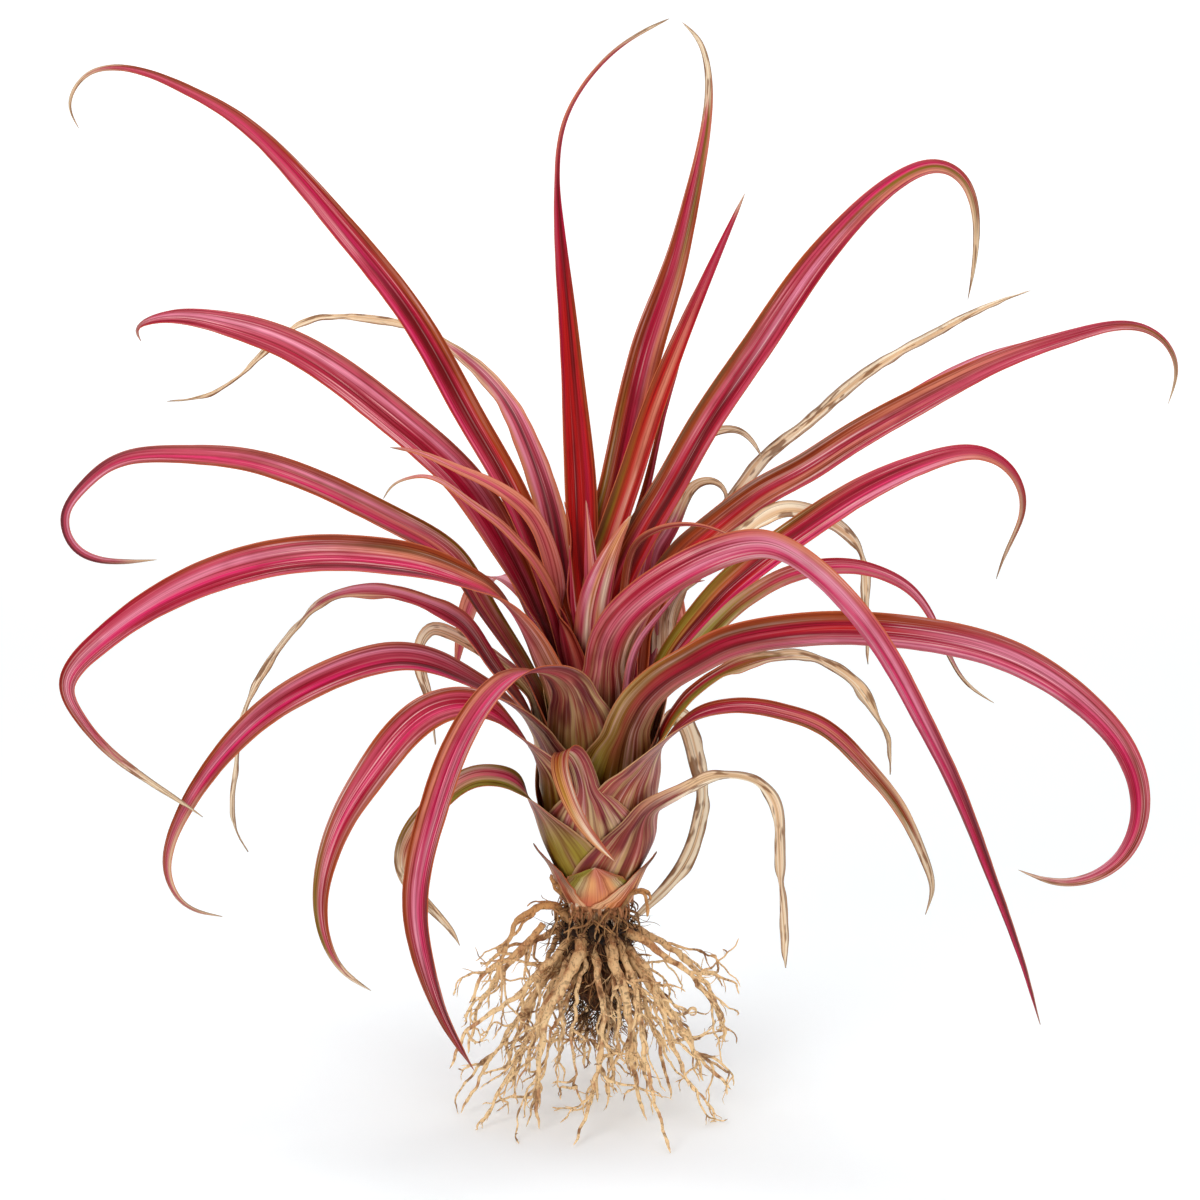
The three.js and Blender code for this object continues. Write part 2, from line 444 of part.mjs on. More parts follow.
// Basal scale: a short pointed sheath outside all the others
function scaleGeometry(scale) {
  const seatRadius = stemRadius(SCALE_SEAT) + SEAT_GAP + BLADE_THICKNESS / 2;
  const radiusAt = (height) => seatRadius + SCALE_FLARE * height;
  const points = [0, 0.5, 1].map((share) => {
    const height = share * scale.rise;
    return around(scale.heading, radiusAt(height), SCALE_SEAT + height);
  });
  points[points.length - 1].add(around(scale.heading, SCALE_SPUR, 0));
  const frames = leafFrames(points, scale.heading, 0, SCALE_STEPS);
  const sizeAt = ({ point, share }) => {
    const halfWidth = (scale.width / 2) * along(FORMS.scale, share);
    const wrap = halfWidth / Math.hypot(point.x, point.y);
    return { halfWidth, angle: Math.max(SCALE_LEAST_WRAP, wrap), centred: 0 };
  };
  return bladeGeometry(frames, sizeAt, COLUMNS.wide);
}

// Stem: a cone with a bevelled shoulder at its foot
function stemGeometry() {
  const profile = [
    new THREE.Vector2(0, STEM.foot),
    new THREE.Vector2(STEM.footRadius - STEM.shoulder, STEM.foot),
    new THREE.Vector2(stemRadius(STEM.foot + STEM.shoulder), STEM.foot + STEM.shoulder),
    new THREE.Vector2(STEM.topRadius, STEM.top),
    new THREE.Vector2(0, STEM.cap),
  ];
  return new THREE.LatheGeometry(profile, STEM.sides).rotateX(Math.PI / 2);
}

// Seeded draws between 0 and 1
function seededDraws(seed) {
  let state = seed;
  return () => {
    state = (state * 1664525 + 1013904223) % 4294967296;
    return state / 4294967296;
  };
}

// Solid of a closed geometry
function solidFrom(geometry) {
  const bare = geometry.index ? geometry.toNonIndexed() : geometry.clone();
  bare.deleteAttribute('normal');
  bare.deleteAttribute('uv');
  const merged = mergeVertices(bare, WELD_DISTANCE);
  return new wasm.Manifold(new wasm.Mesh({
    numProp: 3,
    vertProperties: merged.attributes.position.array,
    triVerts: new Uint32Array(merged.index.array),
  }));
}

// Geometry of a solid
function geometryFrom(solid) {
  const mesh = solid.getMesh();
  const geometry = new THREE.BufferGeometry();
  geometry.setAttribute('position', new THREE.Float32BufferAttribute(mesh.vertProperties, 3));
  geometry.setIndex(Array.from(mesh.triVerts));
  return geometry;
}

// Tapered round root with a few knobs, closed at both ends
function rootGeometry(points, radii, sides, steps, draw) {
  const curve = new THREE.CatmullRomCurve3(points, false, 'centripetal');
  const positions = [];
  const rings = [];
  let normal = new THREE.Vector3(1, 0, 0);
  for (let i = 0; i <= steps; i++) {
    const share = i / steps;
    const centre = curve.getPoint(share);
    const tangent = curve.getTangent(share);
    normal = normal.clone().projectOnPlane(tangent).normalize();
    const side = new THREE.Vector3().crossVectors(tangent, normal);
    const radius = THREE.MathUtils.lerp(radii.start, radii.end, share) * (1 + radii.knob * (2 * draw() - 1));
    rings.push(Array.from({ length: sides }, (_, k) => {
      const turn = (2 * Math.PI * k) / sides;
      return centre.clone()
        .addScaledVector(normal, radius * Math.cos(turn))
        .addScaledVector(side, radius * Math.sin(turn));
    }));
  }
  const triangle = (a, b, c) => [a, b, c].forEach((p) => positions.push(p.x, p.y, p.z));
  for (let i = 0; i < steps; i++) {
    for (let k = 0; k < sides; k++) {
      const next = (k + 1) % sides;
      triangle(rings[i][k], rings[i][next], rings[i + 1][next]);
      triangle(rings[i][k], rings[i + 1][next], rings[i + 1][k]);
    }
  }
  for (let k = 1; k + 1 < sides; k++) {
    triangle(rings[0][0], rings[0][k + 1], rings[0][k]);
    triangle(rings[steps][0], rings[steps][k], rings[steps][k + 1]);
  }
  const geometry = new THREE.BufferGeometry();
  geometry.setAttribute('position', new THREE.Float32BufferAttribute(positions, 3));
  return geometry;
}

// Rootlet that leaves a thick root sideways and sinks towards the ground
function rootletPath(root, draw) {
  const curve = new THREE.CatmullRomCurve3(root, false, 'centripetal');
  const start = curve.getPoint(THREE.MathUtils.lerp(...ROOTLET_SHARES, draw()));
  const heading = Math.atan2(start.y, start.x) + ROOTLET_SPREAD * (draw() - 0.5);
  const length = THREE.MathUtils.lerp(...ROOTLET_LENGTH, draw());
  const fall = THREE.MathUtils.lerp(...ROOTLET_FALL, draw());
  return ROOTLET_POINTS.map((part) => {
    const bend = heading + ROOTLET_BEND * part * (draw() - 0.5);
    const out = length * part;
    const z = start.z - (fall * out * (1 + part)) / 2;
    const x = start.x + out * Math.cos(bend);
    const y = start.y + out * Math.sin(bend);
    return new THREE.Vector3(x, y, part > 0 ? Math.max(z, ROOTLET_FLOOR) : z);
  });
}

// Root mass: the matted core, the thick roots and their rootlets grown into one, flat where they stand
function rootMassGeometry() {
  const draw = seededDraws(ROOT_SEED);
  const profile = ROOT_CORE.map(([radius, z]) => new THREE.Vector2(radius, z)).reverse();
  let mass = solidFrom(new THREE.LatheGeometry(profile, ROOT_CORE_SIDES).rotateX(Math.PI / 2));
  const foot = FOOT_ROOT.path.map((p) => new THREE.Vector3(...p));
  mass = mass.add(solidFrom(rootGeometry(foot, FOOT_ROOT.radii, FOOT_ROOT.sides, foot.length, draw)));
  THICK_ROOTS.forEach((path) => {
    const root = path.map((p) => new THREE.Vector3(...p));
    mass = mass.add(solidFrom(rootGeometry(root, ROOT_RADII, ROOT_SIDES, root.length, draw)));
    for (let i = 0; i < ROOTLETS_PER_ROOT; i++) {
      const rootlet = rootletPath(root, draw);
      const steps = rootlet.length - 1;
      mass = mass.add(solidFrom(rootGeometry(rootlet, ROOTLET_RADII, ROOTLET_SIDES, steps, draw)));
    }
  });
  const { side, depth } = GROUND_BLOCK;
  const ground = solidFrom(new THREE.BoxGeometry(side, side, depth).translate(0, 0, -depth / 2));
  const pieces = mass.subtract(ground).decompose();
  return geometryFrom(pieces.reduce((best, piece) => (piece.volume() > best.volume() ? piece : best)));
}

function addMesh(group, name, geometry, finish) {
  const { color, roughness } = FINISHES[finish];
  const material = new THREE.MeshStandardMaterial({ color, roughness, metalness: 0 });
  const mesh = new THREE.Mesh(geometry, material);
  mesh.name = name;
  group.add(mesh);
}

const group = new THREE.Group();
addMesh(group, 'stem', stemGeometry(), 'bark');
addMesh(group, 'root_mass', rootMassGeometry(), 'root');
LEAVES.forEach((leaf) => addMesh(group, leaf.name, leafGeometry(leaf), leaf.finish));
SCALES.forEach((scale) => addMesh(group, scale.name, scaleGeometry(scale), 'salmon'));

export default group;
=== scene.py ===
"""Looks of the ornamental pineapple: leaves, basal scales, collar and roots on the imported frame."""

import logging
import math
from dataclasses import dataclass, field, replace
from enum import Enum

import bpy
import numpy as np
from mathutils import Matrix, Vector


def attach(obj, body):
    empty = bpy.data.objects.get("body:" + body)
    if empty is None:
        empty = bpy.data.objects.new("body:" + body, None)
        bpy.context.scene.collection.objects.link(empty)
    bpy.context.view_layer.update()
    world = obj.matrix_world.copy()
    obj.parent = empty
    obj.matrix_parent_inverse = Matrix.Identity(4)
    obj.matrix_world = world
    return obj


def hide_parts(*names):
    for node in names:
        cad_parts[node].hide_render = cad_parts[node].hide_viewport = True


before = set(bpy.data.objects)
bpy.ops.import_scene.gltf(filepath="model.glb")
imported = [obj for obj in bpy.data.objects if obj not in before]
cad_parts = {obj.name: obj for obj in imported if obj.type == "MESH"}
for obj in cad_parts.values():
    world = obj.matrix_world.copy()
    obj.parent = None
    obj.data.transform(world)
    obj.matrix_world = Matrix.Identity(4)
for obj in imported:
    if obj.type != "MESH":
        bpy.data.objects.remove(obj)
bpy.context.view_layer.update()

BODY = "root"
MM = 0.001
LOG = logging.getLogger("pineapple")

# Stem and vase, in millimetres, as the solids have them. The scene draws the foot of the vase in at its waist.
STEM_FOOT, STEM_TOP = 112.0, 262.0
STEM_FOOT_RADIUS, STEM_TOP_RADIUS = 23.0, 4.0
SEAT_GAP = 0.45
THICKNESS = 1.0
HIGHEST_SEAT = 255.0
SEAT_STEP = 2.95
VASE_FLARE = 0.25
CLIMB_SHARES = (0.0, 0.35, 0.7, 1.0)
SHEATH_RELEASE = 12.0
LEAN_SHARES = (0.12, 0.4)
CENTRED_SHARES = (0.42, 0.55)
WIDEST_WRAP = 1.1
CLASP = (0.9, 2.0)
CLASP_CURVE = 1.1
CLASP_RANKS = (12, 42)
EASED_WIDTH = 12.5
WAIST_HEIGHTS = (105, 165)
WAIST_REACH = (38, 70)
WAIST_DEPTH = 0.32
CHANNEL_ANGLE = 0.55
TIP_CHANNEL_ANGLE = 0.25
SCALE_RADIUS = 25.4
SCALE_FLARE = 0.2
SCALE_SPUR = 4.0

# Leaves: steps along them, their tips, grooves and dry twist, in millimetres and radians
LEAF_STEP, SCALE_STEP, SHRED_STEP = 2.2, 0.9, 0.8
WIDE_RANK, WIDE_COLUMNS, NARROW_COLUMNS = 16, 16, 12
TIP_SHARE = 0.035
GROOVE_WIDTH = 0.13
RUFFLE_LENGTHS = (34.0, 41.0)
DRY_TWIST, DRY_TWIST_LENGTH, DRY_TWIST_SHARES = 0.5, 70.0, (0.35, 0.6)
EASED_SPAN = 15.0
DRY_SHARE = 0.6
TISSUE_RELIEF = 0.0005

# Bark: how fine its noises are, its relief, and where painted shade darkens it, in metres
BARK_GRAIN, BARK_PATCH, BARK_RINGS = (700, 700, 200), 110, (260, 260, 420)
BARK_RELIEF = 0.0003
SHADED_REACH, SHADED_HEIGHT = (0.033, 0.014), (0.025, 0.06)


class Tint(Enum):
    """Colours of the tissues, and of painted sheen and shade, as screen values."""

    SCARLET = "B4100E"
    CRIMSON = "A40C30"
    DEEP = "6C040C"
    PINK = "D2225E"
    ROSE = "BC4258"
    # SHEEN is partly the leaves' own pale pink and partly painted sheen
    SHEEN = "DC829A"
    MAUVE = "A6524E"
    PLUM = "74303A"
    RUST = "943C16"
    BROWN = "704220"
    OLIVE = "80641A"
    MOSS = "968E34"
    PALE = "CBB684"
    SALMON = "CA765C"
    PEACH = "E2A068"
    GOLD = "C08A28"
    CREAM = "F4E2C6"
    TAN = "DEB890"
    STRAW = "C89C6E"
    UMBER = "7C5030"
    RIM = "C0623C"
    ROOT = "D0965C"
    ROOT_PALE = "F8D4A0"
    ROOT_DARK = "6A3E20"
    # Near-black: dark grain of the fibres, and painted shade in the core and the depths of the crown
    SOIL = "140B06"
    ROOT_RED = "B4784E"

    @property
    def linear(self) -> tuple[float, float, float, float]:
        """The colour in linear light, with alpha."""
        parts = [int(self.value[k : k + 2], 16) / 255 for k in (0, 2, 4)]
        red, green, blue = (p / 12.92 if p <= 0.04045 else ((p + 0.055) / 1.055) ** 2.4 for p in parts)
        return red, green, blue, 1.0


class Form(Enum):
    """Widths along a leaf, as shares of its widest blade."""

    STRAP = ((0, 0.8), (0.12, 1.12), (0.28, 1.0), (0.55, 1.0), (0.78, 0.85), (0.9, 0.5), (1, 0.06))
    WHIP = ((0, 0.8), (0.12, 1.12), (0.28, 1.0), (0.55, 0.93), (0.72, 0.63), (0.85, 0.36), (1, 0.06))
    CREST = (
        (0, 0.5), (0.12, 0.8), (0.25, 1.0), (0.45, 0.66), (0.55, 0.5), (0.63, 0.34), (0.71, 0.16), (1, 0.1),
    )
    BOW = ((0, 0.5), (0.12, 0.8), (0.25, 1.0), (0.5, 0.95), (0.7, 0.55), (0.8, 0.36), (0.88, 0.24), (1, 0.1))
    BOUGH = ((0, 0.6), (0.12, 0.84), (0.28, 0.96), (0.5, 1.0), (0.7, 0.72), (0.85, 0.38), (1, 0.05))
    SPEAR = ((0, 0.65), (0.2, 1.0), (0.55, 0.8), (0.8, 0.42), (1, 0.08))
    SHEATHED = ((0, 2.0), (0.18, 2.3), (0.3, 1.3), (0.42, 1.0), (0.7, 0.85), (0.9, 0.5), (1, 0.1))
    WILTED = ((0, 3.6), (0.2, 3.4), (0.32, 1.5), (0.42, 1.0), (0.7, 0.9), (0.92, 0.6), (1, 0.15))
    TAILED = ((0, 1.0), (0.15, 1.1), (0.35, 0.95), (0.5, 0.6), (0.62, 0.32), (0.85, 0.25), (1, 0.08))


@dataclass(frozen=True)
class Band:
    """Tints across a leaf, from its first margin to its second, at one share of its length."""

    share: float
    tints: tuple[Tint, ...]

    @classmethod
    def row(cls, words: str) -> "tuple[Band, ...]":
        """Bands from words.

        Args:
            words: For each band its share of the length and its tints, first margin first. A bar parts two bands.

        Returns:
            The bands.
        """
        split = (part.split() for part in words.split("|") if part)
        return tuple(cls(float(share), tuple(Tint[tint.upper()] for tint in tints)) for share, *tints in split)


@dataclass(frozen=True)
class Look:
    """Colours of one leaf: both faces by bands, the striped sheath, and where the tissue is dry."""

    upper: tuple[Band, ...]
    lower: tuple[Band, ...] = ()
    sheath: float = 0.0
    green: float = 0.1
    stripes: float = 1.0
    dry_from: float = 0.97
    # How strong the pale streaks are, and with them the painted sheen
    streaks: float = 1.0

    @classmethod
    def of(cls, upper: str, lower: str = "", **settings: float) -> "Look":
        """A look from the words of its bands.

        Args:
            upper: Bands of the upper face.
            lower: Bands of the lower face. Without them it is as the upper one.
            settings: Other fields of the look.

        Returns:
            The look.
        """
        return cls(Band.row(upper), Band.row(lower), **settings)


@dataclass(frozen=True)
class Leaf:
    """One leaf: its seat on the stem, its climb in the vase and its free path, in millimetres and degrees."""

    name: str
    slot: str
    form: Form
    heading: float
    rank: float
    rise: float
    width: float
    lean: float
    path: tuple[tuple[float, float, float], ...]


# The leaves from the centre outwards, on the seats of their solids
LEAVES = (
    Leaf("leaf_heart_spear_back", "scarlet", Form.SPEAR, 165, 1, 40, 8, 0, (
        (-14, 10, 321), (-18, 12, 343))),
    Leaf("leaf_heart_spear_right", "scarlet", Form.SPEAR, 262, 0, 40, 11, 0, (
        (-4, -6, 322), (-6, 2, 345))),
    Leaf("leaf_heart_spear_left", "scarlet", Form.SPEAR, 215, 2, 35, 7, 0, (
        (-14, -9, 305), (-15, -10, 322))),
    Leaf("leaf_crest_left", "scarlet", Form.CREST, 112, 3, 50, 20, 0, (
        (-9, 28, 340), (-12, 36, 386), (-16, 42, 436), (-20, 46, 479), (-22, 50, 512), (-20, 52, 541),
        (-10, 54, 565), (13, 56, 590), (40, 58, 605))),
    Leaf("leaf_centre_spear", "scarlet", Form.SPEAR, 98, 5, 50, 16, 0, (
        (4, 20, 314), (12, 23, 337), (20, 27, 360), (29, 32, 387), (43, 38, 423), (57, 43, 455), (71, 47, 486),
        (82, 50, 510))),
    Leaf("leaf_crest_right", "crimson", Form.BOW, 94, 9, 55, 20, 0, (
        (2, 30, 316), (9, 36, 342), (17, 44, 378), (29, 52, 427), (42, 58, 465), (52, 63, 503), (60, 66, 542),
        (62, 66, 571), (57, 65, 592), (47, 63, 603))),
    Leaf("leaf_heart_peach", "salmon", Form.SPEAR, 258, 6, 42, 22, 0, (
        (-1, -22, 300), (5, -22, 315), (12, -21, 329), (19, -20, 341))),
    Leaf("leaf_heart_curl", "salmon", Form.SPEAR, 320, 4, 45, 8, 0, (
        (19, -9, 318), (30, -7, 329), (46, -6, 333), (62, -5, 331), (74, -5, 326))),
    Leaf("leaf_salmon_upper", "salmon", Form.SPEAR, 192, 7, 50, 17, -50, (
        (-28, -2, 325), (-43, 0, 344), (-60, 2, 355), (-78, 3, 363), (-97, 4, 371), (-113, 4, 374))),
    Leaf("leaf_right_crest", "crimson", Form.WHIP, 76, 12, 64, 19, 12, (
        (16, 27, 308), (30, 29, 332), (43.2, 34, 353.8), (60.5, 42, 383.4), (90.6, 56, 425.9), (117.1, 68, 463.4),
        (143.2, 78, 493.2), (167.1, 85, 513.7), (189.6, 90, 523.2), (205, 92, 517.9), (213.7, 92, 502),
        (215, 90, 474.8), (211, 88, 447.8))),
    Leaf("leaf_salmon_lower", "salmon", Form.SPEAR, 222, 11, 52, 15, -58, (
        (-27, -16, 305), (-40, -15, 321), (-53, -14, 334), (-69, -13, 346), (-81, -12, 355),
        (-92, -12, 360), (-103, -12, 359), (-111, -12, 355), (-116, -12, 348))),
    Leaf("leaf_left_crest", "crimson", Form.WHIP, 146, 13, 66, 23, -12, (
        (-45, 20, 342), (-69.7, 35, 384.3), (-91.2, 50, 421.5), (-113, 62, 453.3), (-149.2, 78, 495.5),
        (-195.1, 92, 543.1), (-231.1, 100, 565), (-263.3, 104, 577), (-288.5, 104, 574.5),
        (-299.1, 102, 558.1), (-294.2, 100, 544.2))),
    Leaf("leaf_back_upright", "crimson", Form.SPEAR, 98, 14, 66, 14, 0, (
        (-8, 45, 320), (-11, 66, 355), (-12, 90, 385), (-12, 112, 400), (-12, 132, 398), (-12, 150, 380))),
    Leaf("leaf_left_second", "crimson", Form.STRAP, 168, 17, 70, 26, -42, (
        (-51, 15, 318), (-75.5, 25, 353.5), (-109, 35, 383), (-141, 45, 407), (-174, 52, 426.1),
        (-211, 58, 437.5), (-242, 62, 440.1), (-258, 62, 433.8), (-256, 60, 426.8))),
    Leaf("leaf_olive_front", "olive", Form.SPEAR, 302, 18, 50, 13, 0, (
        (22, -27, 283), (31, -30, 296), (45, -33, 304), (58, -36, 307))),
    Leaf("leaf_back_short", "olive", Form.SPEAR, 76, 18, 66, 8, 0, (
        (17, 44, 310), (27, 52, 342), (36, 60, 379), (47, 66, 415))),
    Leaf("leaf_back_left_bow", "pink", Form.TAILED, 120, 20, 66, 17, -30, (
        (-23, 42, 316), (-31, 56, 346), (-46, 76, 381), (-62, 92, 402), (-83, 108, 418), (-110, 122, 430),
        (-141, 134, 434), (-168, 142, 432), (-192, 146, 417), (-213, 148, 397), (-234, 150, 386),
        (-255, 150, 383))),
    Leaf("leaf_back_bow", "salmon", Form.SPEAR, 60, 21, 72, 16, 45, (
        (30, 50, 326), (45, 59, 353), (59, 65, 371), (71, 68, 376), (81, 70, 375), (89, 70, 368),
        (94, 70, 359))),
    Leaf("leaf_far_right_upper", "crimson", Form.STRAP, 66, 25, 70, 15, 0, (
        (20, 50, 290), (35, 82, 334), (54, 110, 361), (75, 128, 393), (99, 148, 427), (123, 166, 460),
        (145, 182, 485), (162, 192, 500))),
    Leaf("leaf_far_left_upper", "crimson", Form.STRAP, 130, 22, 72, 15, 0, (
        (-41, 58, 318), (-56, 85, 351), (-74, 115, 381), (-94, 140, 414), (-118, 160, 450),
        (-147, 178, 481), (-175, 190, 510))),
    Leaf("leaf_right_second", "crimson", Form.WHIP, 50, 23, 82, 19.5, 25, (
        (44, 34, 306), (60, 42, 319), (92, 56, 341), (116, 66, 352.7), (145, 78, 369.4),
        (187.3, 90, 391.4), (233.5, 100, 412.8), (274, 108, 425.5), (306.6, 112, 431.3),
        (326.6, 112, 423.3), (334.8, 110, 407.2), (330.7, 108, 386.2))),
    Leaf("leaf_front_right", "pink", Form.BOUGH, 277, 22, 70, 26.5, 0, (
        (6, -46, 278), (12, -54, 289), (28, -64, 305), (47, -73, 319), (68, -82, 330), (89, -90, 334),
        (106, -97, 327), (124, -103, 312), (147.2, -110, 283), (167, -116, 248), (184.5, -122, 213.5),
        (202.5, -127, 169.5), (218.5, -131, 127.4), (230, -134, 90))),
    Leaf("leaf_left_fourth", "pink", Form.WHIP, 214, 24, 68, 30, -48, (
        (-45, -25, 291), (-66, -35, 306.1), (-90, -42, 316.1), (-117, -50, 322), (-149, -58, 324.5),
        (-190.4, -66, 318.3), (-231.6, -72, 301.3), (-262.4, -76, 279.6), (-278.6, -78, 259),
        (-272.6, -78, 241), (-254, -84, 221.6), (-217.4, -101, 200.6), (-205.5, -106, 193.6))),
    Leaf("leaf_back_centre", "crimson", Form.WHIP, 94, 27.5, 84, 23, 0, (
        (-2, 60, 292), (-6, 100, 314), (-8, 140, 314), (-10, 180, 290), (-10, 210, 248), (-8, 228, 200),
        (-6, 238, 150))),
    Leaf("leaf_right_third", "crimson", Form.WHIP, 8, 26, 62, 25, 35, (
        (39, 8, 258), (51.9, 12, 272.2), (63.9, 16, 285.1), (79, 20, 299), (99, 24, 314),
        (118.7, 28, 327.5), (149.5, 34, 346.2), (187, 38, 362.2), (215, 40, 365.7), (233, 40, 353.4),
        (237.9, 38, 334), (230, 36, 313), (223.8, 34, 296))),
    Leaf("leaf_mauve_narrow", "mauve", Form.SPEAR, 300, 28, 62, 8, 0, (
        (20, -36, 267), (31, -40, 286), (42, -42, 300), (52, -44, 312))),
    Leaf("leaf_left_third", "pink", Form.WHIP, 168, 29, 72, 20, -35, (
        (-45, 9, 258), (-64.1, 15, 285.8), (-81, 20, 310.9), (-111.1, 25, 329.2), (-149.3, 30, 347.6),
        (-193.5, 32, 362.8), (-231.9, 32, 366.3), (-264.8, 30, 363.4), (-286.1, 28, 348.1),
        (-295.2, 25, 333), (-290.6, 20, 317.7), (-274.1, 14, 310), (-242, 5, 311.6))),
    Leaf("leaf_back_right", "crimson", Form.STRAP, 80, 30, 84, 18, 0, (
        (13, 60, 268), (26, 100, 286), (38, 135, 280), (48, 163, 252), (54, 178, 212))),
    Leaf("leaf_back_left", "crimson", Form.STRAP, 116, 32, 84, 18, 0, (
        (-28, 60, 268), (-50, 100, 284), (-68, 140, 276), (-80, 168, 248), (-87, 182, 212))),
    Leaf("leaf_back_curl", "salmon", Form.SPEAR, 42, 28, 78, 17, 45, (
        (31, 44, 304), (42, 49, 324), (53, 55, 344), (64, 59, 348), (71, 61, 344), (73, 62, 337),
        (67, 63, 332))),
    Leaf("leaf_far_left_lower", "pink", Form.STRAP, 140, 26, 78, 15, 0, (
        (-48, 55, 298), (-67, 85, 330), (-98, 120, 355), (-135, 150, 381), (-172, 172, 401),
        (-210, 190, 416))),
    Leaf("leaf_far_right_lower", "crimson", Form.STRAP, 56, 33, 84, 15, 0, (
        (42, 78, 298), (78, 110, 320), (108, 135, 336), (145, 160, 359), (186, 180, 381), (226, 195, 402),
        (263, 205, 414))),
    Leaf("leaf_dry_right_bow", "tan", Form.SHEATHED, 21, 34, 84, 12, 50, (
        (38, 32, 275), (48, 36, 293), (64, 36, 307), (79, 38, 319), (87, 40, 325), (101, 43, 333),
        (116, 46, 333), (133, 50, 325), (147, 54, 312), (152, 56, 294), (153, 58, 274), (155, 60, 242))),
    Leaf("leaf_dry_straight", "tan", Form.SHEATHED, 43, 36.5, 90, 8.5, 50, (
        (53, 60, 301), (80, 80, 338), (97, 92, 358), (118, 102, 373), (154, 120, 401), (195, 138, 423),
        (227, 150, 438), (257, 160, 448))),
    Leaf("leaf_front_left", "pink", Form.STRAP, 252, 30, 80, 26, 0, (
        (-24, -62, 264), (-44, -85, 265), (-61.7, -105, 250), (-73.5, -120, 230), (-81.7, -132, 208),
        (-89.1, -140, 182), (-92.1, -146, 155), (-87.6, -150, 127), (-78, -152, 99), (-63, -154, 72))),
    Leaf("leaf_olive_arch", "olive", Form.WHIP, 354, 30, 76, 14, 40, (
        (46, -6, 255), (69, -8, 281), (83, -10, 293), (103, -12, 305), (131, -14, 311), (149, -15, 309),
        (167, -15, 301), (180, -15, 287), (191, -15, 265), (202, -15, 247), (218, -14, 235))),
    Leaf("leaf_right_arch", "crimson", Form.WHIP, 298, 33, 66, 28, -12, (
        (26, -42, 247), (48, -47, 262), (69, -51, 274), (96, -55, 281), (125, -58, 284), (157, -60, 283),
        (194.3, -62, 277.6), (226.9, -63, 266.3), (257.8, -64, 246.1), (281.6, -64, 219.5),
        (290.6, -64, 190), (284.6, -64, 165.6), (269.3, -64, 151.5), (248, -65, 147.6), (226, -66, 154.6))),
    Leaf("leaf_left_fifth", "pink", Form.TAILED, 184, 33, 66, 17, -35, (
        (-53, 0, 246), (-62, -3, 262), (-75, -5, 279), (-97, -8, 291), (-119, -12, 297), (-147, -15, 293),
        (-163, -18, 279), (-180, -20, 257), (-194, -22, 227), (-198, -22, 199), (-200, -22, 171),
        (-192, -22, 153))),
    Leaf("leaf_left_sixth", "pink", Form.WHIP, 216, 35, 66, 24, -42, (
        (-42, -28, 237), (-60.2, -37, 249), (-80.2, -46, 261), (-106.2, -58, 269), (-142.1, -70, 261),
        (-176, -78, 242), (-202.5, -82, 215), (-220.3, -86, 187), (-227.2, -88, 160.7), (-218, -88, 141.5),
        (-198.7, -88, 134.9))),
    Leaf("leaf_dry_left_curl", "tan", Form.SHEATHED, 158, 36, 86, 9, -50, (
        (-65, 18, 259), (-82, 20, 268), (-92, 20, 270), (-98, 20, 263), (-99, 20, 248), (-94, 20, 230),
        (-91, 20, 204))),
    Leaf("leaf_gold_arch", "olive", Form.SHEATHED, 336, 37, 62, 12, 45, (
        (46, -17, 234), (63, -19, 250), (81, -21, 259), (100, -23, 263), (115, -24, 263), (129, -25, 257),
        (143, -26, 246), (152, -27, 231), (159, -28, 216), (160, -28, 198))),
    Leaf("leaf_dry_right_loop", "tan", Form.SHEATHED, 30, 39, 74, 12, -60, (
        (48, 34, 216), (56.3, 38, 193), (60.3, 38, 174), (57.8, 36, 152), (50.3, 32, 129),
        (38.1, 26, 110.5), (24.6, 20, 100.6))),
    Leaf("leaf_left_seventh", "pink", Form.WHIP, 232, 39, 58, 24, -48, (
        (-38, -46, 222), (-48.7, -60, 236), (-62.8, -71, 246), (-82, -82, 247), (-99.5, -91, 237),
        (-117.8, -99, 215), (-132.9, -102, 191), (-142.3, -107, 165), (-144, -110, 139),
        (-134.9, -112, 114.9), (-118.4, -112, 101.4))),
    Leaf("leaf_right_mid_arch", "olive", Form.SHEATHED, 302, 41, 60, 18, 40, (
        (33, -50, 220), (43.1, -59, 231.5), (55.6, -67, 240.8), (77.8, -76, 246.2), (97.8, -83, 244.2),
        (119, -90, 237.5), (141, -95, 217.5), (159, -99, 195.5), (171.5, -102, 170),
        (175.8, -103, 154.5), (172.6, -104, 140.5))),
    Leaf("leaf_front_fold", "salmon", Form.SHEATHED, 262, 43, 66, 15, 0, (
        (-13, -46, 219), (-19, -54, 224), (-21, -61, 216), (-17, -64, 200), (-9, -65, 182), (1, -64, 168),
        (10, -62, 158))),
    Leaf("leaf_back_right_low", "olive", Form.SHEATHED, 50, 42, 76, 11, 0, (
        (34, 50, 226), (38, 66, 236), (38, 84, 230), (36, 96, 212))),
    Leaf("leaf_back_left_low", "olive", Form.SHEATHED, 134, 42, 76, 11, 0, (
        (-32, 50, 225), (-36, 68, 234), (-36, 86, 226), (-34, 97, 208))),
    Leaf("leaf_dry_back", "tan", Form.SHEATHED, 90, 44, 76, 9, 0, (
        (4, 56, 216), (8, 76, 208), (10, 90, 178), (8, 94, 142))),
    Leaf("leaf_left_lowest", "olive", Form.SHEATHED, 204, 45, 60, 15, -38, (
        (-51, -30, 200), (-66.8, -34, 200.2), (-86.4, -38, 184.9), (-101.2, -40, 167.3),
        (-105.2, -40, 147.4), (-93.3, -38, 128.5), (-80.3, -36, 112.6), (-75.3, -36, 103.6))),
    Leaf("leaf_dry_right_lowest", "tan", Form.WILTED, 318, 46, 56, 9, -40, (
        (48, -41, 193), (61, -45, 200.6), (78, -49, 202.1), (90.8, -52, 196.3), (97, -54, 184.1),
        (98.4, -55, 166), (99.6, -56, 144), (101.3, -57, 122), (102.1, -58, 97.6))),
)

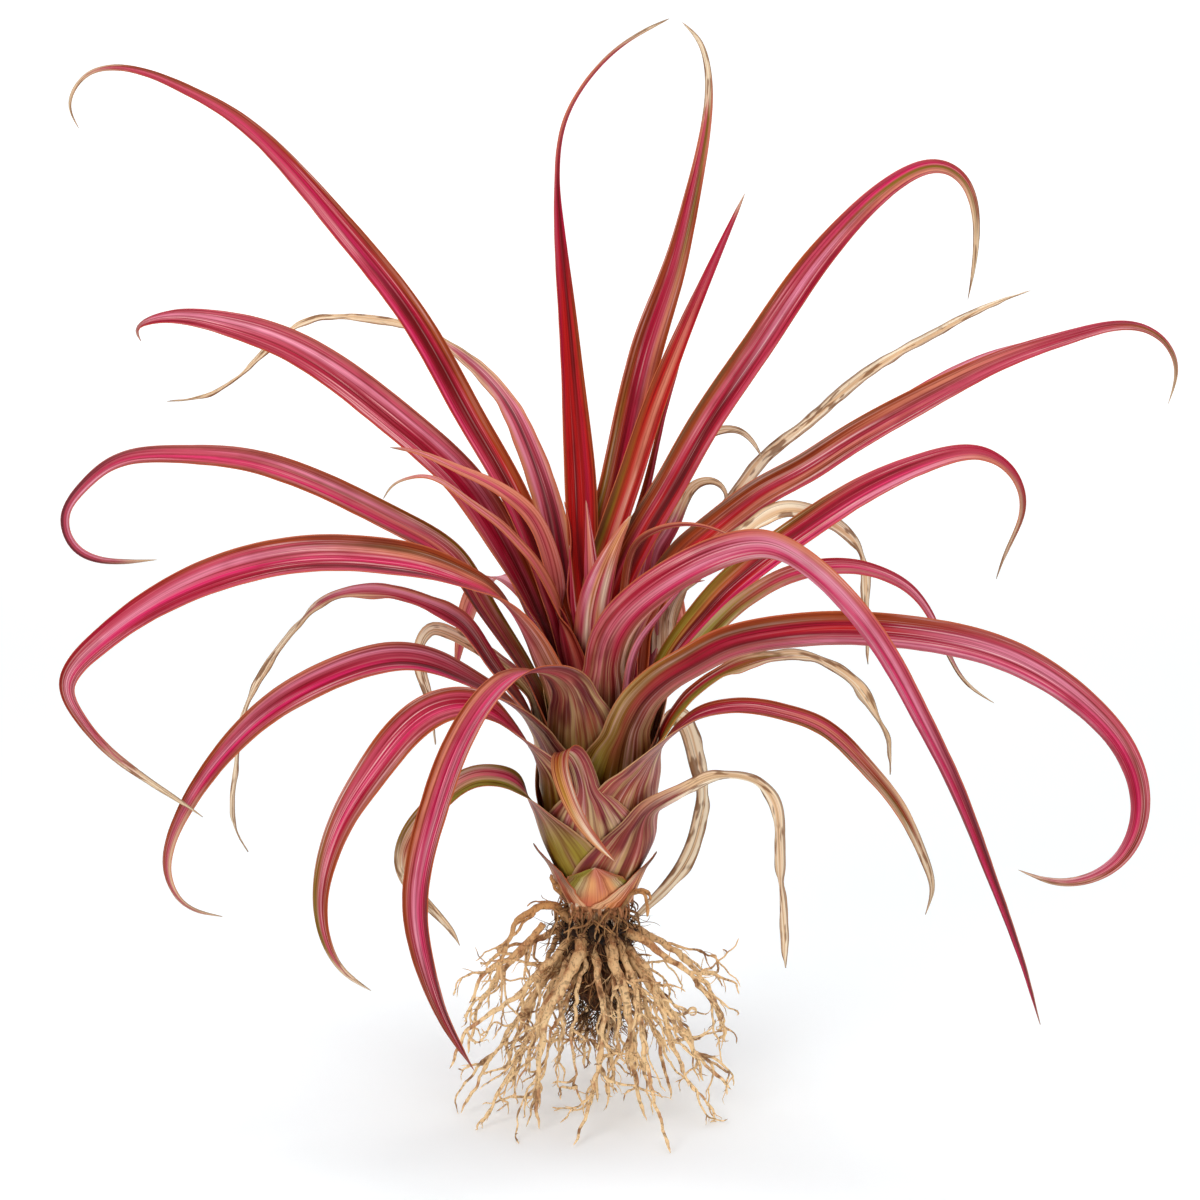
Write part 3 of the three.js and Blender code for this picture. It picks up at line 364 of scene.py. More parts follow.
# Paths of the thick roots, the one straight under the stem first
THICK_ROOTS = (
    ((0, 0, 100), (3, -3, 70), (2, 2, 36), (0, 0, 12), (0, 0, -4)),
    ((-14, -5, 108), (-24, -8, 118), (-36, -10, 117), (-46, -11, 107), (-52, -11, 92), (-54, -11, 74)),
    ((-30, -8, 108), (-45, -10, 92), (-63, -12, 80), (-71, -13, 63)),
    ((-12, -10, 102), (-32, -20, 84), (-50, -28, 68), (-70, -34, 56), (-81, -37, 34)),
    (
        (-8, -14, 104), (-11, -22, 92), (-19, -28, 78), (-27, -32, 64), (-31, -37, 44), (-33, -42, 20),
        (-32, -44, -4),
    ),
    ((-2, -14, 100), (0, -25, 86), (3, -32, 70), (3, -37, 52), (0, -44, 34), (-6, -58, 14), (-13, -72, -4)),
    (
        (6, -14, 106), (9, -23, 92), (14, -28, 78), (18, -30, 60), (19, -33, 40), (23, -34, 18),
        (27, -30, -4),
    ),
    ((10, -12, 102), (20, -26, 80), (25, -38, 52), (31, -57, 24), (40, -82, -4)),
    ((12, -8, 106), (28, -12, 98), (43, -16, 88), (56, -18, 78), (65, -18, 65)),
    ((14, -8, 98), (26, -18, 80), (42, -26, 58), (57, -32, 38), (74, -36, 22)),
    ((14, 0, 98), (28, -4, 78), (43, -8, 56), (54, -12, 38), (59, -14, 18)),
    ((10, 4, 98), (22, 7, 70), (34, 8, 36), (42, 6, -4)),
    ((-10, -10, 98), (-28, -22, 66), (-46, -32, 34), (-64, -38, -4)),
    ((-12, -2, 98), (-34, -8, 68), (-58, -14, 34), (-76, -18, -4)),
    ((-14, 8, 104), (-34, 16, 92), (-54, 22, 72), (-68, 26, 48), (-74, 28, 20)),
    ((-10, 12, 100), (-26, 26, 74), (-42, 38, 40), (-54, 46, -4)),
    ((-4, 14, 104), (-12, 32, 90), (-22, 50, 68), (-30, 62, 36), (-34, 68, 10)),
    ((0, 14, 100), (-2, 30, 70), (-6, 46, 34), (-8, 58, -4)),
    ((4, 14, 104), (14, 34, 88), (22, 52, 62), (26, 66, 34), (28, 72, 12)),
    ((10, 12, 100), (26, 26, 72), (40, 38, 36), (50, 48, -4)),
    ((14, 8, 104), (34, 16, 92), (54, 24, 74), (68, 30, 50), (74, 32, 26)),
)

# Short stubs and rootlets at the crown
STRAY_ROOTS = (
    ((-15, -9, 121), (-21, -10, 127), (-27, -10, 135)),
    ((-17, -9, 124), (-23, -10, 131), (-26, -10, 137)),
    ((13, -12, 118), (19, -14, 126), (24, -14, 128), (27, -14, 124), (28, -14, 114)),
    ((15, -12, 120), (22, -13, 129), (27, -12, 128), (30, -11, 122)),
)

# Lower faces that several leaves share, then the look of each leaf and scale
STRIPED = (
    "0 moss moss pale moss moss | .2 mauve plum mauve pale mauve plum mauve | .45 mauve rose sheen rose mauve | "
    ".75 rose mauve rose"
)
ROSY = (
    "0 moss pale moss | .25 salmon mauve sheen rose mauve salmon | .6 rose mauve sheen mauve rose | "
    ".85 salmon rose salmon"
)
# The deep tints at share 0, near the leaf bases, are partly painted shade of the rosette's heart
LOOKS = {
    "leaf_heart_spear_back": Look.of("0 scarlet deep scarlet", "0 rose scarlet rose"),
    "leaf_heart_spear_right": Look.of("0 rose crimson salmon", "0 plum rose plum | .8 rose salmon crimson"),
    "leaf_heart_spear_left": Look.of("0 crimson rose", "0 crimson rose crimson"),
    "leaf_crest_left": Look.of(
        "0 rust scarlet deep scarlet rust | .25 rust scarlet crimson scarlet scarlet deep scarlet scarlet rust | "
        ".5 rust scarlet deep scarlet scarlet crimson | .66 crimson deep crimson rose | .85 rose mauve salmon",
        "0 salmon rose salmon", dry_from=0.9, streaks=0.2),
    "leaf_centre_spear": Look.of(
        "0 deep scarlet scarlet deep | .3 scarlet scarlet salmon scarlet rust olive brown | "
        ".6 scarlet salmon scarlet rust | .9 crimson rose crimson",
        "0 salmon rose salmon", streaks=0.4),
    "leaf_crest_right": Look.of(
        "0 rust deep scarlet olive | .3 rust scarlet deep crimson deep rust olive rust | "
        ".55 rust salmon rose crimson crimson rust rust | .72 rust olive rose crimson rust | "
        ".85 salmon olive rose salmon",
        "0 salmon rose salmon", dry_from=0.86, streaks=0.7),
    "leaf_heart_peach": Look.of(
        "0 salmon rose salmon",
        "0 rose mauve rose | .35 salmon rose cream rose peach crimson rose | .6 rose sheen peach rose cream rose | "
        ".85 salmon peach salmon", sheath=0.3, green=0.02, stripes=0.6),
    "leaf_heart_curl": Look.of(
        "0 rust scarlet rust | .7 salmon rose peach",
        "0 rust brown rust | .5 rust salmon rust | .8 salmon rose peach"),
    "leaf_salmon_upper": Look.of(
        "0 rose salmon rose | .7 salmon rose salmon",
        "0 rose mauve rose | .35 rose sheen crimson peach rose | .6 rose sheen salmon sheen salmon rose | "
        ".85 rose peach salmon", stripes=0.7),
    "leaf_right_crest": Look.of(
        "0 scarlet deep deep rust brown | .22 crimson scarlet deep deep scarlet rose rust rust brown | "
        ".42 rose crimson deep crimson rose rust brown | .6 crimson rose sheen crimson rose rust | "
        ".76 rose salmon olive pink rose | .9 tan olive rust",
        "0 salmon rose salmon | .8 tan olive rust", dry_from=0.86, streaks=0.7),
    "leaf_salmon_lower": Look.of(
        "0 rust salmon rust | .7 salmon rose salmon",
        "0 rose mauve rose | .35 mauve rose crimson salmon rust | .6 rose sheen rose salmon sheen rose | "
        ".85 peach rose peach", dry_from=0.9, stripes=0.7),
    "leaf_left_crest": Look.of(
        "0 rust deep deep crimson crimson | .2 rust rust scarlet deep deep crimson rose pink crimson | "
        ".45 rust rust crimson deep deep crimson pink crimson | .65 rust crimson crimson pink rose rose crimson | "
        ".85 rust rose crimson",
        "0 salmon rose salmon | .8 tan olive rust", dry_from=0.9),
    "leaf_back_upright": Look.of("0 rust crimson deep rose rust", ROSY, sheath=0.2),
    "leaf_left_second": Look.of(
        "0 rust rust deep crimson rose | .25 rust rust rose deep crimson crimson rose salmon | "
        ".5 mauve rose sheen rose crimson crimson rose rose crimson | "
        ".72 mauve rose sheen rose crimson rose crimson | .9 rose sheen rose crimson",
        ROSY, dry_from=0.975),
    "leaf_olive_front": Look.of(
        "0 olive moss olive | .7 rust olive rose",
        "0 moss olive pale | .5 olive pale mauve salmon | .8 rose sheen salmon", sheath=0.15),
    "leaf_back_short": Look.of("0 crimson rose rust olive | .8 rose rust", ROSY),
    "leaf_back_left_bow": Look.of(
        "0 rust crimson rust | .25 peach salmon rose plum crimson plum rose sheen salmon peach | "
        ".42 salmon sheen rose plum rose sheen salmon | .55 tan sheen rose tan",
        "0 salmon rose salmon | .55 cream sheen tan", dry_from=0.56),
    "leaf_back_bow": Look.of(
        "0 rose sheen rose | .6 rose sheen mauve",
        "0 sheen rose sheen | .6 mauve pale mauve", dry_from=0.72),
    "leaf_far_right_upper": Look.of("0 rust crimson deep pink rust | .7 rose sheen rose", ROSY, sheath=0.2),
    "leaf_far_left_upper": Look.of("0 rust crimson deep pink rust | .7 rose sheen rose", ROSY, sheath=0.2),
    "leaf_right_second": Look.of(
        "0 rust deep rust rust | .25 rust salmon scarlet scarlet rust rust brown | "
        ".45 rose rust salmon crimson rose rust rust brown | .65 crimson rose rose mauve salmon rust | "
        ".82 rose rose crimson rose rose | .94 rust olive rose",
        ROSY, dry_from=0.93),
    "leaf_front_right": Look.of(
        "0 deep crimson deep | .5 rose crimson rose",
        "0 plum mauve pale mauve plum | .12 rose mauve sheen mauve rose mauve pale | "
        ".3 rose crimson rose sheen pink mauve rose | .45 salmon sheen sheen pink rose sheen salmon | "
        ".6 rose sheen pink sheen pink crimson | .8 plum crimson pink crimson plum",
        sheath=0.12, green=0.07, dry_from=0.975),
    "leaf_left_fourth": Look.of(
        "0 rust deep crimson rust | .2 rust rust salmon scarlet rose crimson rose rose | "
        ".38 rust brown salmon rose pink crimson plum rose | .55 rust rose sheen rose pink crimson crimson rose | "
        ".72 crimson rose sheen pink crimson rose | .86 rust rose crimson",
        ROSY, dry_from=0.86),
    "leaf_back_centre": Look.of(
        "0 rust crimson deep pink rust | .5 rust rose sheen crimson rose rust", ROSY, sheath=0.2),
    "leaf_right_third": Look.of(
        "0 deep deep deep moss | .2 rose pink crimson deep deep gold moss olive | "
        ".45 pink pink scarlet crimson deep crimson rust olive | .65 rose sheen pink crimson crimson rose | "
        ".82 salmon rose crimson | .92 tan rust",
        ROSY, dry_from=0.93),
    "leaf_mauve_narrow": Look.of(
        "0 olive moss olive",
        "0 mauve pale mauve | .5 mauve sheen mauve rust | .8 sheen rose", stripes=0.7),
    "leaf_left_third": Look.of(
        "0 moss olive deep crimson | .3 olive rust mauve rose salmon crimson rose plum rust | "
        ".5 rust mauve sheen mauve rose rose pink mauve rust | .68 mauve rose rose pink rose rust | "
        ".85 plum rose sheen",
        "0 moss pale moss | .3 rose mauve sheen rose | .85 sheen pink rose", dry_from=0.93),
    "leaf_back_right": Look.of("0 rust crimson deep pink rust | .7 rose sheen rose", ROSY, sheath=0.25),
    "leaf_back_left": Look.of("0 rust crimson deep pink rust | .7 rose sheen rose", ROSY, sheath=0.25),
    "leaf_back_curl": Look.of("0 rose sheen mauve", "0 rose sheen mauve | .6 mauve pale olive", dry_from=0.72),
    "leaf_far_left_lower": Look.of("0 rust rose crimson pink olive | .7 rose sheen rose", ROSY, sheath=0.2),
    "leaf_far_right_lower": Look.of("0 rust rose crimson pink olive | .7 rose sheen rose", ROSY, sheath=0.2),
    "leaf_dry_right_bow": Look.of("0 cream tan cream", "0 moss pale moss | .3 cream sheen cream", dry_from=0.34),
    "leaf_dry_straight": Look.of("0 moss pale moss | .6 cream cream tan", "0 pale moss | .5 cream tan", dry_from=0.4),
    "leaf_front_left": Look.of(
        "0 moss olive moss | .3 rust rose rose mauve rose | .42 rust salmon rose rose pink sheen pink rose salmon | "
        ".62 rust salmon rose pink sheen pink crimson rust | .8 rust rose sheen pink crimson deep | "
        ".92 rust crimson deep",
        "0 moss moss mauve moss | .12 mauve pale mauve pale rose mauve plum | .3 mauve rose pale rose mauve plum | "
        ".6 rose mauve rose", sheath=0.24, green=0.13, dry_from=0.99),
    "leaf_olive_arch": Look.of(
        "0 gold moss olive | .35 pale moss olive moss pale | .6 rose mauve pink rose crimson | .8 rose sheen rose",
        "0 moss pale moss | .35 pale moss mauve pale | .6 rose sheen rose", dry_from=0.86),
    "leaf_right_arch": Look.of(
        "0 deep crimson deep | .6 rose sheen crimson pink",
        "0 moss pale moss | .12 moss olive mauve plum mauve pale mauve | "
        ".28 rust brown crimson crimson deep mauve rose mauve salmon | "
        ".45 rust rust crimson scarlet crimson rose sheen rose rose | "
        ".62 mauve rose sheen sheen rose pink sheen rose | .8 rose mauve pink crimson rose | .93 rust rose sheen",
        sheath=0.12, green=0.13, dry_from=0.93),
    "leaf_left_fifth": Look.of(
        "0 moss rust deep crimson | .3 rose mauve plum crimson plum rose | .45 salmon sheen rose crimson rose | "
        ".55 sheen rose tan",
        ROSY, dry_from=0.55),
    "leaf_left_sixth": Look.of(
        "0 moss olive rust | .25 rust mauve plum mauve rose | .38 mauve sheen rose rose crimson plum pink rose | "
        ".55 salmon sheen rose crimson pink crimson rose rust | .75 rust rose sheen pink crimson rust | "
        ".9 rust rose tan",
        STRIPED, sheath=0.22, green=0.05, dry_from=0.93),
    "leaf_dry_left_curl": Look.of(
        "0 moss pale mauve | .5 mauve pale olive", "0 moss mauve | .5 mauve tan", dry_from=0.5),
    "leaf_gold_arch": Look.of(
        "0 gold moss gold | .3 gold moss olive scarlet deep | .45 moss olive crimson rust | .6 tan rust olive tan",
        "0 moss gold moss | .4 moss pale salmon | .6 tan salmon tan", dry_from=0.56),
    "leaf_dry_right_loop": Look.of("0 tan cream tan", "0 moss pale mauve | .35 tan cream tan", dry_from=0.36),
    "leaf_left_seventh": Look.of(
        "0 rust crimson deep | .3 rust rose crimson crimson rose mauve | "
        ".45 rust rose crimson crimson pink rose rose rust | .65 rust rose rose pink crimson mauve rust | "
        ".88 olive rose rust",
        STRIPED, sheath=0.26, green=0.15, dry_from=0.92),
    "leaf_right_mid_arch": Look.of(
        "0 deep crimson deep | .45 rust rose crimson rose crimson rust | .65 olive rust rose salmon rose rust | "
        ".8 tan olive rust tan",
        "0 moss pale moss moss | .1 plum mauve plum mauve plum | .34 mauve rose mauve rose mauve | "
        ".5 rust rose crimson crimson salmon rose mauve | .7 rust salmon rose olive tan | .85 tan olive rust",
        sheath=0.36, green=0.12, dry_from=0.84),
    "leaf_front_fold": Look.of(
        "0 moss olive moss | .45 scarlet pink crimson pink salmon | .58 peach scarlet gold scarlet peach | "
        ".75 peach gold peach salmon cream | .9 peach cream salmon",
        "0 moss moss pale moss moss | .12 plum plum mauve pale plum plum | .4 mauve rose pale rose mauve",
        sheath=0.46, green=0.06, dry_from=0.99, streaks=0.7),
    "leaf_back_right_low": Look.of("0 olive rose rust | .6 rose sheen olive", STRIPED, sheath=0.4),
    "leaf_back_left_low": Look.of("0 olive rose rust | .6 rose sheen olive", STRIPED, sheath=0.4),
    "leaf_dry_back": Look.of("0 tan cream tan", STRIPED, sheath=0.36, dry_from=0.4),
    "leaf_left_lowest": Look.of(
        "0 moss olive moss | .24 brown mauve tan brown | .36 olive rose pink tan moss moss | .7 olive tan salmon moss",
        "0 moss moss rose moss moss | .14 olive rose brown rose olive brown | .34 pale mauve brown pale mauve tan",
        sheath=0.34, green=0.19, stripes=0.8, dry_from=0.7),
    "leaf_dry_right_lowest": Look.of(
        "0 tan cream tan",
        "0 moss moss pale moss | .1 mauve pale rose pale mauve rose | .32 tan cream mauve cream tan",
        sheath=0.28, green=0.06, dry_from=0.36),
}
SCALE_LOOKS = {
    "basal_scale_front": Look.of(
        "0 salmon rust salmon",
        "0 rust umber salmon peach salmon rust | .5 umber moss pale peach salmon peach pale moss | "
        ".9 moss salmon salmon", streaks=0.5),
    "basal_scale_left": Look.of(
        "0 rust brown rust",
        "0 umber peach straw salmon tan rust tan | .45 umber salmon peach straw salmon umber | .8 brown umber",
        streaks=0.6),
    "basal_scale_right": Look.of(
        "0 rust brown rust",
        "0 tan peach rust tan salmon straw umber | .45 tan salmon peach straw salmon umber | .8 brown umber",
        streaks=1.0),
}


def seeded(name: str) -> np.random.Generator:
    """Draws that depend on a piece's name alone.

    Args:
        name: Name of the piece.

    Returns:
        The generator.
    """
    return np.random.default_rng(sum((k + 1) * ord(letter) for k, letter in enumerate(name)))


def smoothstep(value: np.ndarray | float, low: float, high: float) -> np.ndarray | float:
    """Eased step from 0 at low to 1 at high."""
    share = np.clip((value - low) / (high - low), 0.0, 1.0)
    return share * share * (3 - 2 * share)


def through(knots: tuple[tuple[float, float], ...], at: np.ndarray) -> np.ndarray:
    """Monotone curve through knots, without corners.

    Args:
        knots: Pairs of place and value.
        at: Places to read.

    Returns:
        The values there.
    """
    x, y = np.array(knots, float).T
    step, rise = np.diff(x), np.diff(y) / np.diff(x)
    slope = np.zeros_like(x)
    same = rise[:-1] * rise[1:] > 0
    first, second = 2 * step[1:] + step[:-1], step[1:] + 2 * step[:-1]
    joined = (first + second) / (first / np.where(same, rise[:-1], 1) + second / np.where(same, rise[1:], 1))
    slope[1:-1] = np.where(same, joined, 0)
    slope[0], slope[-1] = rise[0], rise[-1]
    k = np.clip(np.searchsorted(x, at, side="right") - 1, 0, len(x) - 2)
    t = (at - x[k]) / step[k]
    low = y[k] * (1 + 2 * t) * (1 - t) ** 2 + slope[k] * step[k] * t * (1 - t) ** 2
    high = y[k + 1] * t * t * (3 - 2 * t) + slope[k + 1] * step[k] * t * t * (t - 1)
    return low + high


def waves(places: np.ndarray, length: float, draw: np.random.Generator) -> np.ndarray:
    """Smooth uneven waves between about -1 and 1.

    Args:
        places: Places along a path.
        length: Length of the longest wave.
        draw: Source of the phases.

    Returns:
        The height of the waves there.
    """
    total = np.zeros_like(places)
    for k, share in enumerate((0.5, 0.3, 0.2)):
        turns = 2 * math.pi * places * (1.0 + 0.83 * k) / length
        total += share * np.sin(turns + draw.uniform(0, 2 * math.pi))
    return total


def around(heading: float, radius: float, z: float) -> np.ndarray:
    """Point beside the stem, at a heading in degrees."""
    turn = math.radians(heading)
    return np.array([radius * math.cos(turn), radius * math.sin(turn), z])


def stem_radius(z: float) -> float:
    """Radius of the stem at a height."""
    share = (z - STEM_FOOT) / (STEM_TOP - STEM_FOOT)
    return STEM_FOOT_RADIUS + (STEM_TOP_RADIUS - STEM_FOOT_RADIUS) * share


def spline(points: np.ndarray, places: np.ndarray) -> np.ndarray:
    """Natural cubic curve through points, even in its bends.

    Args:
        points: The points that it passes through.
        places: Places from 0 to 1.

    Returns:
        The points there.
    """
    spans = np.sqrt(np.linalg.norm(np.diff(points, axis=0), axis=1))
    knots = np.concatenate([[0], np.cumsum(spans)])
    count = len(points)
    system, pull = np.eye(count), np.zeros_like(points)
    for k in range(1, count - 1):
        system[k, k - 1 : k + 2] = spans[k - 1], 2 * (spans[k - 1] + spans[k]), spans[k]
        pull[k] = (points[k + 1] - points[k]) / spans[k] - (points[k] - points[k - 1]) / spans[k - 1]
    bends = np.linalg.solve(system, 6 * pull)
    at = np.clip(places, 0, 1) * knots[-1]
    k = np.clip(np.searchsorted(knots, at, side="right") - 1, 0, count - 2)
    span, w = spans[k][:, None], ((at - knots[k]) / spans[k])[:, None]
    line = points[k] * (1 - w) + points[k + 1] * w
    return line + span**2 / 6 * (((1 - w) ** 3 - (1 - w)) * bends[k] + (w**3 - w) * bends[k + 1])


def unit(vectors: np.ndarray) -> np.ndarray:
    """Vectors brought to length one."""
    return vectors / np.maximum(np.linalg.norm(vectors, axis=-1, keepdims=True), 1e-9)


def paced(points: np.ndarray, samples: int) -> tuple[np.ndarray, np.ndarray]:
    """Measures a path.

    Args:
        points: The points that it passes through.
        samples: How many places are measured.

    Returns:
        The share of each place, and how far it is along the path.
    """
    shares = np.linspace(0, 1, samples)
    steps = np.linalg.norm(np.diff(spline(points, shares), axis=0), axis=1)
    return shares, np.concatenate([[0], np.cumsum(steps)])


@dataclass
class Course:
    """Even places along a path with the least possible twist."""

    points: np.ndarray
    step: float
    first_normal: np.ndarray
    least: int = 12
    eased: float = 0.0
    place: np.ndarray = field(init=False)
    tangent: np.ndarray = field(init=False)
    normal: np.ndarray = field(init=False)
    reach: np.ndarray = field(init=False)

    def __post_init__(self) -> None:
        """Walks the path once."""
        fine, reach = paced(self.points, 40 * len(self.points))
        rows = max(self.least, int(reach[-1] / self.step))
        self.reach = np.linspace(0, reach[-1], rows + 1)
        self.place = spline(self.points, np.interp(self.reach, reach, fine))
        if self.eased:
            self.place = self.ease(self.place)
        self.tangent = unit(np.gradient(self.place, axis=0))
        normals = [self.first_normal]
        for tangent in self.tangent:
            before = normals[-1]
            normals.append(unit(before - tangent * np.dot(before, tangent)))
        self.normal = np.array(normals[1:])

    def ease(self, place: np.ndarray) -> np.ndarray:
        """Eases the bend round one place of the path.

        Args:
            place: Places along the path.

        Returns:
            The eased places.
        """
        apart = self.reach[:, None] - self.reach[None]
        weight = np.exp(-((apart / EASED_SPAN) ** 2) / 2)
        soft = weight @ place / weight.sum(1)[:, None]
        share = smoothstep(self.reach, self.eased * 0.35, self.eased * 0.8)
        share = share * smoothstep(self.reach, self.eased + 75, self.eased + 30)
        return place + (soft - place) * share[:, None]

    @property
    def share(self) -> np.ndarray:
        """Shares of the length."""
        return self.reach / self.reach[-1]

    def turned(self, angles: np.ndarray) -> np.ndarray:
        """Normals turned about the path.

        Args:
            angles: Turn at each place, in radians.

        Returns:
            The turned normals.
        """
        side = np.cross(self.tangent, self.normal)
        return self.normal * np.cos(angles)[:, None] + side * np.sin(angles)[:, None]


@dataclass
class Skin:
    """Vertices, faces and the values that the materials read."""

    vertices: np.ndarray
    faces: list[tuple[int, ...]] | np.ndarray
    values: dict[str, np.ndarray] = field(default_factory=dict)
    across: np.ndarray | None = None

    def waisted(self) -> "Skin":
        """Draws in the foot of the vase towards the crown of the roots.

        Returns:
            The same skin, with its waist.
        """
        away = np.hypot(self.vertices[:, 0], self.vertices[:, 1])
        low = 1 - smoothstep(self.vertices[:, 2], *WAIST_HEIGHTS)
        share = 1 - WAIST_DEPTH * low * (1 - smoothstep(away, *WAIST_REACH))
        return replace(self, vertices=self.vertices * np.stack([share, share, np.ones_like(share)], 1))

    def build(self, name: str, material: bpy.types.Material, slot: str) -> bpy.types.Object:
        """Makes the piece and seats it on the body.

        Args:
            name: Name of the piece.
            material: Its material.
            slot: Not used.

        Returns:
            The piece.
        """
        mesh = bpy.data.meshes.new(name)
        mesh.from_pydata(self.vertices * MM, [], self.faces)
        for key, numbers in self.values.items():
            layer = mesh.attributes.new(key, "FLOAT", "POINT")
            layer.data.foreach_set("value", numbers.astype(np.float32))
        if self.across is not None:
            corners = np.zeros(len(mesh.loops), np.int32)
            mesh.loops.foreach_get("vertex_index", corners)
            mesh.uv_layers.new(name="blade").data.foreach_set("uv", self.across[corners].ravel().astype(np.float32))
        mesh.polygons.foreach_set("use_smooth", np.ones(len(mesh.polygons), bool))
        mesh.materials.append(material)
        piece = bpy.data.objects.new(name, mesh)
        bpy.context.scene.collection.objects.link(piece)
        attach(piece, BODY)
        return piece


def grid_faces(rows: int, columns: int, start: int, flip: bool) -> np.ndarray:
    """Quads of a grid of vertices.

    Args:
        rows: Spaces along.
        columns: Spaces across.
        start: Index of the first vertex.
        flip: Whether the faces look the other way.

    Returns:
        The quads.
    """
    i, j = np.meshgrid(np.arange(rows), np.arange(columns), indexing="ij")
    a = (start + i * (columns + 1) + j).ravel()
    quads = np.stack([a, a + 1, a + columns + 2, a + columns + 1], 1)
    return quads[:, ::-1] if flip else quads


def merged(skins: list[Skin]) -> Skin:
    """Several skins as one.

    Args:
        skins: The skins.

    Returns:
        The joined skin.
    """
    vertices, faces, start = [], [], 0
    for skin in skins:
        vertices.append(skin.vertices)
        faces.extend(tuple(k + start for k in face) for face in skin.faces)
        start += len(skin.vertices)
    values = {}
    if all(skin.values for skin in skins):
        values = {key: np.concatenate([skin.values[key] for skin in skins]) for key in skins[0].values}
    return Skin(np.concatenate(vertices), faces, values)


def tube(points: np.ndarray, radii: np.ndarray, sides: int) -> Skin:
    """A closed round stick.

    Args:
        points: Places along it.
        radii: Radius at each place.
        sides: Sides of its section.

    Returns:
        The stick.
    """
    tangent = unit(np.gradient(points, axis=0))
    normal = unit(np.cross(tangent[0], np.array([0.31, 0.77, 0.55])))
    rings = []
    for point, along, radius in zip(points, tangent, radii):
        normal = unit(normal - along * np.dot(normal, along))
        side = np.cross(along, normal)
        turn = 2 * math.pi * np.arange(sides)[:, None] / sides
        rings.append(point + radius * (np.cos(turn) * normal + np.sin(turn) * side))
    count = len(points)
    i, k = np.meshgrid(np.arange(count - 1), np.arange(sides), indexing="ij")
    here, beside = (i * sides + k).ravel(), (i * sides + (k + 1) % sides).ravel()
    faces = np.stack([here, beside, beside + sides, here + sides], 1).tolist()
    faces.append(tuple(reversed(range(sides))))
    faces.append(tuple(range((count - 1) * sides, count * sides)))
    return Skin(np.concatenate(rings), faces)


@dataclass
class Blade:
    """A closed leaf blade, channelled, with thin margins, low pleats and a drawn-out tip."""

    name: str
    course: Course
    normal: np.ndarray
    half_width: np.ndarray
    angle: np.ndarray
    lift: np.ndarray
    columns: int = 12
    pleat: float = 0.12
    groove: float = 0.3
    ruffle: float = 0.35
    margin: float = 0.35

    def skin(self) -> Skin:
        """Makes both faces, the two margins and the ends.

        Returns:
            The skin of the blade.
        """
        course, columns, rows = self.course, self.columns, len(self.course.reach) - 1
        draw = seeded(self.name)
        across = unit(np.cross(course.tangent, self.normal))
        tip = np.sqrt(np.clip((1 - course.share) / TIP_SHARE, 0.004, 1))
        half = self.half_width * tip
        side = np.linspace(-1, 1, columns + 1)
        radius = (half / self.angle)[:, None]
        turn = self.angle[:, None] * side
        pleats = self.pleat * np.cos(3 * math.pi * side) * smoothstep(half, 1.5, 6.0)[:, None]
        groove = -self.groove * np.exp(-((side / GROOVE_WIDTH) ** 2)) * smoothstep(half, 2.0, 7.0)[:, None]
        edges = [waves(course.reach, length, draw) for length in RUFFLE_LENGTHS]
        ruffle = np.where(side < 0, edges[0][:, None], edges[1][:, None]) * self.ruffle * np.abs(side) ** 3
        relief = pleats + groove + ruffle * smoothstep(course.share, 0.2, 0.5)[:, None]
        thick = THICKNESS / 2 * (1 - (1 - self.margin) * side**4)[None] * (0.35 + 0.65 * tip)[:, None]
        sheets = []
        for face in (1, -1):
            reach = radius + face * thick + relief
            point = course.place[:, None] + across[:, None] * (reach * np.sin(turn))[..., None]
            rise = reach * np.cos(turn) - radius + self.lift[:, None]
            sheets.append(point + self.normal[:, None] * rise[..., None])
        count = (rows + 1) * (columns + 1)
        faces = [grid_faces(rows, columns, 0, False), grid_faces(rows, columns, count, True)]
        left = np.arange(rows) * (columns + 1)
        right = left + columns
        down = columns + 1
        faces.append(np.stack([left, left + down, left + down + count, left + count], 1))
        faces.append(np.stack([right, right + count, right + down + count, right + down], 1))
        ends = np.arange(columns)
        faces.append(np.stack([ends, ends + count, ends + count + 1, ends + 1], 1))
        last = ends + rows * (columns + 1)
        faces.append(np.stack([last, last + 1, last + count + 1, last + count], 1))
        place = np.stack(np.broadcast_arrays((side[None] + 1) / 2, course.share[:, None]), -1).reshape(-1, 2)
        reach = np.repeat(course.reach * MM, columns + 1)
        return Skin(
            vertices=np.concatenate([sheet.reshape(-1, 3) for sheet in sheets]),
            faces=np.concatenate(faces).tolist(),
            values={"reach": np.tile(reach, 2), "upper": np.repeat([0.0, 1.0], count)},
            across=np.tile(place, (2, 1)),
        )


